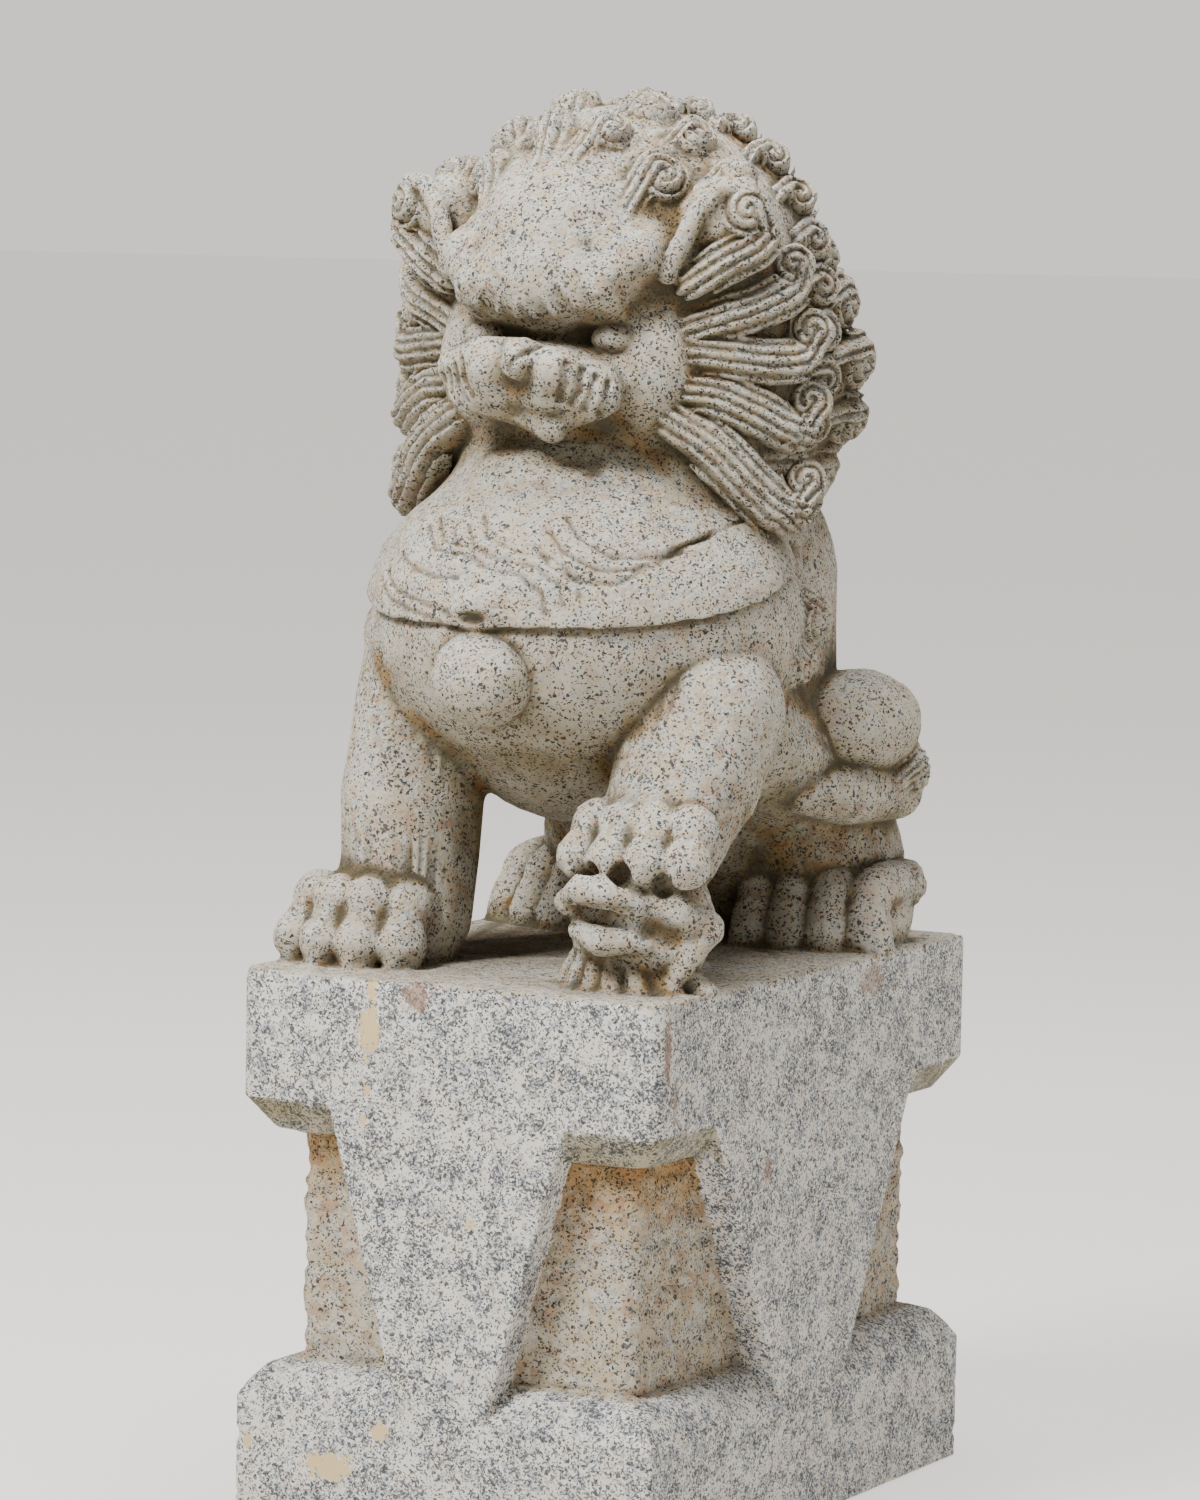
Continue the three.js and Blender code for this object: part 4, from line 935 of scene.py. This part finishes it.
def on_waist(x, y, z):
    in_x = HALF_WIDTH - np.abs(x)
    in_y = HALF_DEPTH - np.abs(y)
    deep = np.minimum(in_x, in_y) > WAIST_SETBACK - NEAR_WAIST
    return deep & (z > WAIST_SPAN[0]) & (z < WAIST_SPAN[1])


def on_sawn(x, y, z):
    skin = np.minimum(HALF_WIDTH - np.abs(x), HALF_DEPTH - np.abs(y))
    return (z < SAWN_TOP) & ((skin < WAIST_SETBACK - NEAR_WAIST) | (z > WAIST_HIGH))


def pitch_waist(field):
    # Breaks up the waist in rough level courses, by seeded noise in a thin shell round it
    level = int(np.searchsorted(field.axes[2], WAIST_SPAN[1]))
    i, j, k = np.nonzero(np.abs(field.values[:, :, :level]) < SHELL_STEPS * field.step)
    points = np.stack([field.axes[0][i], field.axes[1][j], field.axes[2][k]], axis=1)
    x, y, z = points.T
    waist = on_waist(x, y, z)
    shift = np.zeros(len(points), dtype=np.float32)
    for courses in WAIST_ROUGHNESS:
        shift[waist] += courses["height"] * value_noise(points[waist] / courses["size"], courses["seed"])
    field.values[i, j, k] += shift


# Seeded noise over points in space

def value_noise(cell, seed):
    # Smooth noise from -1 to 1 with one random value at each whole cell
    lattice = np.random.default_rng(seed).random((NOISE_CELLS,) * 3, dtype=np.float32) * 2 - 1
    corner = np.floor(cell).astype(int)
    t = cell - corner
    t = t * t * (3 - 2 * t)
    total = np.zeros(len(cell), dtype=np.float32)
    for bits in range(8):
        offset = np.array([(bits >> i) & 1 for i in range(3)])
        weight = np.prod(np.where(offset, t, 1 - t), axis=1)
        i, j, k = ((corner + offset) % NOISE_CELLS).T
        total += weight.astype(np.float32) * lattice[i, j, k]
    return total


def stone_field():
    margin = MARGIN_STEPS * STEP
    field = Field((-LION_HALF_WIDTH - margin, -HALF_DEPTH - margin, -margin),
                  (LION_HALF_WIDTH + margin, HALF_DEPTH + margin, LION_TOP + 2 * margin), STEP)
    add_mane(field)
    add_body(field)
    add_hindquarters(field)
    add_forelegs(field)
    add_bib_details(field)
    add_cub(field)
    add_paws(field)
    add_head(field)
    add_ears(field)
    add_crown_curls(field)
    add_front_locks(field)
    add_face_lines(field)
    field.values[:, :, field.axes[2] < PLINTH_HEIGHT - SINK] = FAR
    add_plinth(field)
    pitch_waist(field)
    return field


def stone_mesh():
    field = stone_field()
    band = BAND_STEPS * STEP
    grid = openvdb.FloatGrid(band)
    grid.copyFromArray(np.clip(field.values, -band, band))
    points, triangles, quads = grid.convertToPolygons(0.0, 0.0)
    points = points * STEP + field.low
    return field, points, triangles, quads


def reduced(thing, limit):
    # The same object with its triangles brought down to the limit
    count = sum(len(polygon.vertices) - 2 for polygon in thing.data.polygons)
    if count > limit:
        reduce = thing.modifiers.new("reduce", "DECIMATE")
        reduce.ratio = limit / count
        depsgraph = bpy.context.evaluated_depsgraph_get()
        mesh = bpy.data.meshes.new_from_object(thing.evaluated_get(depsgraph))
        thing.modifiers.clear()
        thing.data = mesh


def vertex_array(mesh, name):
    values = np.zeros(len(mesh.vertices) * 3, np.float32)
    mesh.vertices.foreach_get(name, values)
    return values.reshape(-1, 3)


def paint(mesh, name, values, domain="POINT"):
    attribute = mesh.attributes.new(name, "FLOAT", domain)
    attribute.data.foreach_set("value", np.clip(values, 0, 1).astype(np.float32))


def smooth_step(values, low, high):
    t = np.clip((values - low) / (high - low), 0, 1)
    return t * t * (3 - 2 * t)


def blocked_sky(field, points, normals):
    # How much of the sky above each point is hidden by the stone, from 0 to 1
    blocked = np.zeros(len(points))
    for elevation, count in SKY_RINGS:
        flat = math.cos(math.radians(elevation))
        rise = math.sin(math.radians(elevation))
        for i in range(count):
            turn = 2 * math.pi * (i + elevation / 90) / count
            direction = np.array([flat * math.cos(turn), flat * math.sin(turn), rise])
            hit = (normals @ direction) < 0
            for reach in SKY_REACHES:
                hit = hit | (field.nearest(points + normals * SKY_LIFT + direction * reach) < 0)
            blocked += hit
    return blocked / sum(count for _, count in SKY_RINGS)


def hollowness(mesh, points, normals, rounds):
    # How far each point lies below the surface evened out over its neighbours, in millimetres
    ends = np.zeros(len(mesh.edges) * 2, np.int32)
    mesh.edges.foreach_get("vertices", ends)
    a, b = ends.reshape(-1, 2).T
    count = np.bincount(a, minlength=len(points)) + np.bincount(b, minlength=len(points))
    even = points
    for _ in range(rounds):
        even = np.stack([
            (np.bincount(a, even[b, i], len(points)) + np.bincount(b, even[a, i], len(points))) / count
            for i in range(3)
        ], axis=1)
    return np.sum((even - points) * normals, axis=1)


def face_normals(mesh):
    values = np.zeros(len(mesh.polygons) * 3, np.float32)
    mesh.polygons.foreach_get("normal", values)
    return values.reshape(-1, 3)


def face_centres(mesh):
    values = np.zeros(len(mesh.polygons) * 3, np.float32)
    mesh.polygons.foreach_get("center", values)
    return values.reshape(-1, 3) / MM


def paint_hollows(mesh, field, points, normals, lion):
    # crevice, fold and sheltered drive painted shade in the material, together with dirt and olive stain
    near = hollowness(mesh, points, normals, CREVICE_ROUNDS)
    paint(mesh, "crevice", near / CREVICE_DEPTH * lion)
    paint(mesh, "ridge", -near / CREVICE_DEPTH * lion)
    paint(mesh, "fold", hollowness(mesh, points, normals, FOLD_ROUNDS) / FOLD_DEPTH * lion)
    paint(mesh, "sheltered", blocked_sky(field, points, normals) * lion)


def roughen(mesh, points, normals, carved):
    shift = np.zeros(len(points))
    for grain in CARVED_ROUGHNESS:
        shift += grain["height"] * value_noise(points / grain["size"], grain["seed"])
    moved = points + normals * (shift * carved)[:, None]
    mesh.vertices.foreach_set("co", (moved * MM).astype(np.float32).ravel())
    mesh.update()


def paint_faces(mesh):
    # Which faces are sawn, which are on the waist, and which look down from under the top block
    centres = face_centres(mesh)
    paint(mesh, "sawn", on_sawn(*centres.T), "FACE")
    paint(mesh, "waist", on_waist(*centres.T), "FACE")
    # The faces that look down from under the top block are given painted shade in the material
    soffit = (centres[:, 2] > SOFFIT_SPAN[0]) & (centres[:, 2] < SOFFIT_SPAN[1])
    faces_down = smooth_step(-face_normals(mesh)[:, 2], *SOFFIT_SLOPE)
    paint(mesh, "soffit", faces_down * soffit, "FACE")


def make_stone():
    field, points, triangles, quads = stone_mesh()
    faces = [tuple(face) for face in quads.tolist() + triangles.tolist()]
    mesh = bpy.data.meshes.new("guardian_lion_stone")
    mesh.from_pydata((points * MM).tolist(), [], faces)
    mesh.update()
    stone = bpy.data.objects.new("guardian_lion_stone", mesh)
    bpy.context.scene.collection.objects.link(stone)
    reduced(stone, TRIANGLE_LIMIT)
    mesh = stone.data
    mesh.name = "guardian_lion_stone"
    mesh.shade_smooth()
    mesh.set_sharp_from_angle(angle=math.radians(SHARP_ANGLE))
    points = vertex_array(mesh, "co").astype(float) / MM
    normals = vertex_array(mesh, "normal").astype(float)
    lion = smooth_step(points[:, 2], *LION_FOOT)
    paint_hollows(mesh, field, points, normals, lion)
    roughen(mesh, points, normals, points[:, 2] > LION_FOOT[0])
    paint_faces(mesh)
    return stone


# Granite: grey quartz, cream feldspar and black mica, with stains and painted shade in its hollows

# Distances between the middles of mineral grains, in millimetres
FELDSPAR_CELL = 5.5
QUARTZ_CELL = 2.4
SMALL_MICA_CELL = 0.85
LARGE_MICA_CELL = 1.5
PINK_SHARE = 0.14
LARGE_MICA_SHARE = 0.04
BENT_BY = 2.2 * MM

# How much of the stone is mica: the thresholds between and in the clusters, carved and sawn
MICA_CARVED = (0.92, 0.76)
MICA_SAWN = (0.84, 0.46)

# Ochre has run down the waist from under the top block, between these heights in metres
OCHRE_RUN = (0.150, 0.186)
RAGGED_EDGE = 0.02
GRAIN_DEPTH = 2.4 * MM

# Noise over the stone: scale, detail and roughness
RAGGED = (260.0, 4.0, 0.7)
CLUSTERS = (75.0, 3.0, 0.6)
PATCHY = (34.0, 4.0)
RUNS = (60.0, 3.0)
CHISELLED = (560.0, 4.0, 0.7)
DENTED = (190.0, 3.0, 0.6)
WOBBLE = {"Scale": 420.0, "Detail": 2.0}

# The values between which each measure of the surface goes from no effect to the full one
SPANS = {
    "cluster": (0.35, 0.65),
    "tint": (0.35, 0.75),
    "patchy": (0.35, 0.62),
    "sheltered": (0.48, 0.85),
    "olive_stain_and_shade": (0.1, 0.9),
    "ochre": (0.15, 0.6),
    "runs": (0.42, 0.6),
    "crevice": (0.15, 1.0),
    "ridge": (0.2, 1.0),
    "spot": (0.75, 1.0),
}

# How strongly each colour shows; a pair gives the least and the most
STRENGTHS = {
    "sawn": 0.55,
    "quartz": (0.4, 0.75),
    "mica": (0.7, 0.97),
    "olive_stain_and_shade": (0.65, 1.0),
    "ochre": 0.8,
    "crease_shade_and_dirt": (0.6, 0.9),
    "worn": 0.3,
    "run": 0.9,
    "straw": 0.35,
}
QUARTZ_LIMITS = (0.95, 0.45)
GRAIN_STRENGTH = (1.0, 0.12)
ROUGHNESS = (0.92, 0.68)
SPOT_RAGGEDNESS = (0.3, 0.7, -0.6, 0.6)
SPOT_SKIN = 3


class Nodes:
    def __init__(self, material):
        self.tree = material.node_tree
        self.tree.nodes.clear()

    def add(self, kind, inputs=None, **settings):
        node = self.tree.nodes.new(kind)
        for name, value in settings.items():
            setattr(node, name, value)
        for name, value in (inputs or {}).items():
            socket = node.inputs[name]
            if isinstance(value, bpy.types.NodeSocket):
                self.tree.links.new(value, socket)
            else:
                socket.default_value = value
        return node

    def attribute(self, name):
        return self.add("ShaderNodeAttribute", attribute_name=name).outputs["Fac"]

    def math(self, operation, a, b=0.0, clamp=False):
        return self.add("ShaderNodeMath", {0: a, 1: b}, operation=operation, use_clamp=clamp).outputs[0]

    def product(self, *factors):
        total = factors[0]
        for factor in factors[1:]:
            total = self.math("MULTIPLY", total, factor)
        return total

    def mix(self, amount, a, b, blend="MIX"):
        node = self.add("ShaderNodeMix", {0: amount, 6: a, 7: b}, data_type="RGBA", blend_type=blend)
        return node.outputs[2]

    def ramp(self, value, low, high, low_to=0.0, high_to=1.0):
        return self.add("ShaderNodeMapRange", {0: value, 1: low, 2: high, 3: low_to, 4: high_to}).outputs[0]

    def noise(self, vector, scale, detail=3.0, roughness=0.55):
        return self.add("ShaderNodeTexNoise", {"Vector": vector, "Scale": scale, "Detail": detail,
                                               "Roughness": roughness}).outputs["Fac"]

    def cells(self, vector, size):
        # Two random values for each cell, where size is how far apart cells lie in millimetres
        pattern = self.add("ShaderNodeTexVoronoi", {"Vector": vector, "Scale": 1 / (size * MM)})
        split = self.add("ShaderNodeSeparateColor", {0: pattern.outputs["Color"]}).outputs
        return split[0], split[1]


def patch_mask(n, place, patch):
    # One inside a ragged spot on one face of the plinth
    x, y, z = place["parts"]
    across, level = patch["centre"]
    wide, high = patch["radii"]
    along = x if patch["face"] == "front" else y
    u = n.math("DIVIDE", n.math("SUBTRACT", along, across * MM), wide * MM)
    v = n.math("DIVIDE", n.math("SUBTRACT", z, level * MM), high * MM)
    reach = n.math("SQRT", n.math("ADD", n.math("MULTIPLY", u, u), n.math("MULTIPLY", v, v)))
    ragged = n.math("ADD", reach, n.ramp(place["ragged"], *SPOT_RAGGEDNESS))
    inside = n.ramp(ragged, *SPANS["spot"], 1.0, 0.0)
    if patch["face"] == "front":
        on_face = n.math("LESS_THAN", y, -(HALF_DEPTH - SPOT_SKIN) * MM)
    else:
        on_face = n.math("GREATER_THAN", x, (HALF_WIDTH - SPOT_SKIN) * MM)
    return n.math("MULTIPLY", inside, on_face)


def granite():
    material = bpy.data.materials.new("granite")
    material.use_nodes = True
    n = Nodes(material)
    position = n.add("ShaderNodeTexCoord").outputs["Object"]
    parts = n.add("ShaderNodeSeparateXYZ", {0: position}).outputs
    place = {"parts": (parts[0], parts[1], parts[2]), "ragged": n.noise(position, *RAGGED)}
    wobble = n.add("ShaderNodeTexNoise", {"Vector": position, **WOBBLE}).outputs["Color"]
    centred = n.add("ShaderNodeVectorMath", {0: wobble, 1: (0.5, 0.5, 0.5)}, operation="SUBTRACT").outputs[0]
    bent = n.add("ShaderNodeVectorMath", {0: centred, 1: (BENT_BY,) * 3, 2: position},
                 operation="MULTIPLY_ADD").outputs[0]
    sawn = n.attribute("sawn")
    waist = n.attribute("waist")
    cluster = n.noise(position, *CLUSTERS)

    # Light minerals
    tint, pale = n.cells(bent, FELDSPAR_CELL)
    ground = n.mix(n.ramp(tint, *SPANS["tint"]), GRANITE["white"], GRANITE["cream"])
    ground = n.mix(n.math("GREATER_THAN", pale, 1 - PINK_SHARE), ground, GRANITE["pink"])
    ground = n.mix(n.product(sawn, STRENGTHS["sawn"]), ground, GRANITE["sawn"])
    quartz, _ = n.cells(bent, QUARTZ_CELL)
    grey = n.math("GREATER_THAN", quartz, n.ramp(cluster, *SPANS["cluster"], *QUARTZ_LIMITS))
    seen = n.ramp(sawn, 0, 1, *STRENGTHS["quartz"])
    ground = n.mix(n.math("MULTIPLY", grey, seen), ground, GRANITE["quartz"])

    # Dark mica, thicker where the clusters are, and thicker on the sawn faces
    small, depth = n.cells(bent, SMALL_MICA_CELL)
    large, _ = n.cells(bent, LARGE_MICA_CELL)
    thin = n.mix(sawn, *(n.ramp(cluster, *SPANS["cluster"], *limits) for limits in (MICA_CARVED, MICA_SAWN)))
    dark = n.math("MAXIMUM", n.math("GREATER_THAN", small, thin),
                  n.math("GREATER_THAN", large, 1 - LARGE_MICA_SHARE))
    stone = n.mix(n.product(dark, n.ramp(depth, 0, 1, *STRENGTHS["mica"])), ground, GRANITE["mica"])

    # Olive stain with painted shade under overhangs, on faces that look down and in folds; ochre and rust
    # where water has run
    patchy = n.ramp(n.noise(position, *PATCHY), *SPANS["patchy"])
    fold = n.attribute("fold")
    # Painted shade: the stone is multiplied towards olive where the sky is blocked, on faces that look down,
    # under the top block and in wide folds, together with a real olive stain
    sheltered = n.ramp(n.attribute("sheltered"), *SPANS["sheltered"])
    olive_stain_and_shade = n.math("MAXIMUM", sheltered, n.attribute("soffit"))
    olive_stain_and_shade = n.math("MAXIMUM", olive_stain_and_shade, n.ramp(fold, *SPANS["olive_stain_and_shade"]))
    olive_stain_and_shade = n.product(olive_stain_and_shade, n.ramp(patchy, 0, 1, *STRENGTHS["olive_stain_and_shade"]))
    stone = n.mix(olive_stain_and_shade, stone, GRANITE["olive_stain_and_shade"], "MULTIPLY")
    runs = n.ramp(n.noise(position, *RUNS), *SPANS["runs"])
    ochre = n.product(n.ramp(fold, *SPANS["ochre"]), runs, STRENGTHS["ochre"])
    stone = n.mix(ochre, stone, GRANITE["ochre"], "MULTIPLY")
    # Painted shade with dirt: the narrow grooves are mixed towards near black
    crevice = n.ramp(n.attribute("crevice"), *SPANS["crevice"])
    stone = n.mix(n.product(crevice, n.ramp(patchy, 0, 1, *STRENGTHS["crease_shade_and_dirt"])), stone, GRANITE["crease_shade_and_dirt"])
    worn = n.ramp(n.attribute("ridge"), *SPANS["ridge"])
    worn = n.product(worn, n.math("SUBTRACT", 1.0, dark), STRENGTHS["worn"])
    stone = n.mix(worn, stone, GRANITE["worn"])
    ragged = n.ramp(place["ragged"], 0, 1, -RAGGED_EDGE, RAGGED_EDGE)
    high = n.ramp(n.math("ADD", parts[2], ragged), *OCHRE_RUN)
    stone = n.mix(n.product(waist, high, STRENGTHS["run"]), stone, GRANITE["ochre"], "MULTIPLY")
    stone = n.mix(n.product(waist, patchy, STRENGTHS["straw"]), stone, GRANITE["straw"], "MULTIPLY")
    for patch in PATCHES:
        covered = n.product(patch_mask(n, place, patch), patch["strength"])
        stone = n.mix(covered, stone, GRANITE[patch["colour"]])

    # Grain: coarse where it was chiselled, nearly flat where it was sawn
    grain = n.math("ADD", n.noise(position, *CHISELLED), n.noise(position, *DENTED))
    strength = n.ramp(sawn, 0, 1, *GRAIN_STRENGTH)
    bump = n.add("ShaderNodeBump", {"Height": grain, "Strength": strength, "Distance": GRAIN_DEPTH})
    roughness = n.ramp(sawn, 0, 1, *ROUGHNESS)
    shader = n.add("ShaderNodeBsdfPrincipled", {"Base Color": stone, "Roughness": roughness,
                                                "Normal": bump.outputs[0]})
    n.add("ShaderNodeOutputMaterial", {"Surface": shader.outputs[0]})
    return material


# Camera at the photograph's viewing angle, floor and lights

PHOTO_SIZE = (1200, 1500)
SENSOR_MM = 36.0
FOCAL_PIXELS = 5602.4
CAMERA_PLACE = (1339.4, -2419.0, 636.0)
CAMERA_AZIMUTH = 29.178
CAMERA_PITCH = 5.462
CAMERA_ROLL = 1.0705


def make_camera():
    azimuth, pitch, roll = (math.radians(v) for v in (CAMERA_AZIMUTH, CAMERA_PITCH, CAMERA_ROLL))
    right = Vector((math.cos(azimuth), math.sin(azimuth), 0))
    level = math.cos(pitch)
    back = Vector((math.sin(azimuth) * level, -math.cos(azimuth) * level, math.sin(pitch)))
    up = back.cross(right)
    rolled_right = right * math.cos(roll) + up * math.sin(roll)
    rolled_up = up * math.cos(roll) - right * math.sin(roll)
    data = bpy.data.cameras.new("camera")
    data.sensor_width = SENSOR_MM
    data.sensor_fit = "AUTO"
    data.lens = FOCAL_PIXELS * SENSOR_MM / max(PHOTO_SIZE)
    camera = bpy.data.objects.new("camera", data)
    camera.matrix_world = Matrix((
        (rolled_right.x, rolled_up.x, back.x, CAMERA_PLACE[0] * MM),
        (rolled_right.y, rolled_up.y, back.y, CAMERA_PLACE[1] * MM),
        (rolled_right.z, rolled_up.z, back.z, CAMERA_PLACE[2] * MM),
        (0, 0, 0, 1),
    ))
    bpy.context.scene.collection.objects.link(camera)
    bpy.context.scene.camera = camera


# The floor is pale, and glows a little so that it stays as pale in the distance
FLOOR = {"half": 60.0, "colour": (0.50, 0.48, 0.45, 1), "glow": (1.0, 0.97, 0.91, 1), "glow_strength": 0.85,
         "roughness": 0.9}


def make_floor():
    half = FLOOR["half"]
    mesh = bpy.data.meshes.new("floor")
    corners = [(-half, -half, 0), (half, -half, 0), (half, half, 0), (-half, half, 0)]
    mesh.from_pydata(corners, [], [(0, 1, 2, 3)])
    floor = bpy.data.objects.new("floor", mesh)
    bpy.context.scene.collection.objects.link(floor)
    material = bpy.data.materials.new("floor")
    material.use_nodes = True
    shader = material.node_tree.nodes["Principled BSDF"]
    shader.inputs["Base Color"].default_value = FLOOR["colour"]
    shader.inputs["Roughness"].default_value = FLOOR["roughness"]
    shader.inputs["Emission Color"].default_value = FLOOR["glow"]
    shader.inputs["Emission Strength"].default_value = FLOOR["glow_strength"]
    mesh.materials.append(material)


LIGHTS = [
    {"name": "key", "place": (-0.7, -1.9, 2.7), "size": 0.8, "watts": 150.0},
    {"name": "fill", "place": (2.4, -1.2, 1.8), "size": 1.6, "watts": 9.0},
    {"name": "top", "place": (0.2, 0.1, 2.8), "size": 1.2, "watts": 78.0},
]
LIT_POINT = (0, 0, 0.4)

# Light from all round, and how bright the backdrop itself looks
SKY = {"colour": (1.0, 0.98, 0.93, 1), "light": 0.12, "seen": 0.98}


def make_light(light):
    data = bpy.data.lights.new(light["name"], "AREA")
    data.size = light["size"]
    data.energy = light["watts"]
    lamp = bpy.data.objects.new(light["name"], data)
    lamp.location = light["place"]
    lamp.rotation_euler = (Vector(LIT_POINT) - Vector(light["place"])).to_track_quat("-Z", "Y").to_euler()
    bpy.context.scene.collection.objects.link(lamp)


def make_world():
    world = bpy.data.worlds.new("studio")
    world.use_nodes = True
    tree = world.node_tree
    sky = tree.nodes["Background"]
    sky.inputs["Color"].default_value = SKY["colour"]
    sky.inputs["Strength"].default_value = SKY["light"]
    seen = tree.nodes.new("ShaderNodeBackground")
    seen.inputs["Color"].default_value = SKY["colour"]
    seen.inputs["Strength"].default_value = SKY["seen"]
    choice = tree.nodes.new("ShaderNodeMixShader")
    path = tree.nodes.new("ShaderNodeLightPath")
    tree.links.new(path.outputs["Is Camera Ray"], choice.inputs[0])
    tree.links.new(sky.outputs[0], choice.inputs[1])
    tree.links.new(seen.outputs[0], choice.inputs[2])
    tree.links.new(choice.outputs[0], tree.nodes["World Output"].inputs["Surface"])
    bpy.context.scene.world = world


stone = make_stone()
stone.data.materials.append(granite())
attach(stone, "root")
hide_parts("guardian_lion_statue")

make_floor()
for light in LIGHTS:
    make_light(light)
make_world()
make_camera()
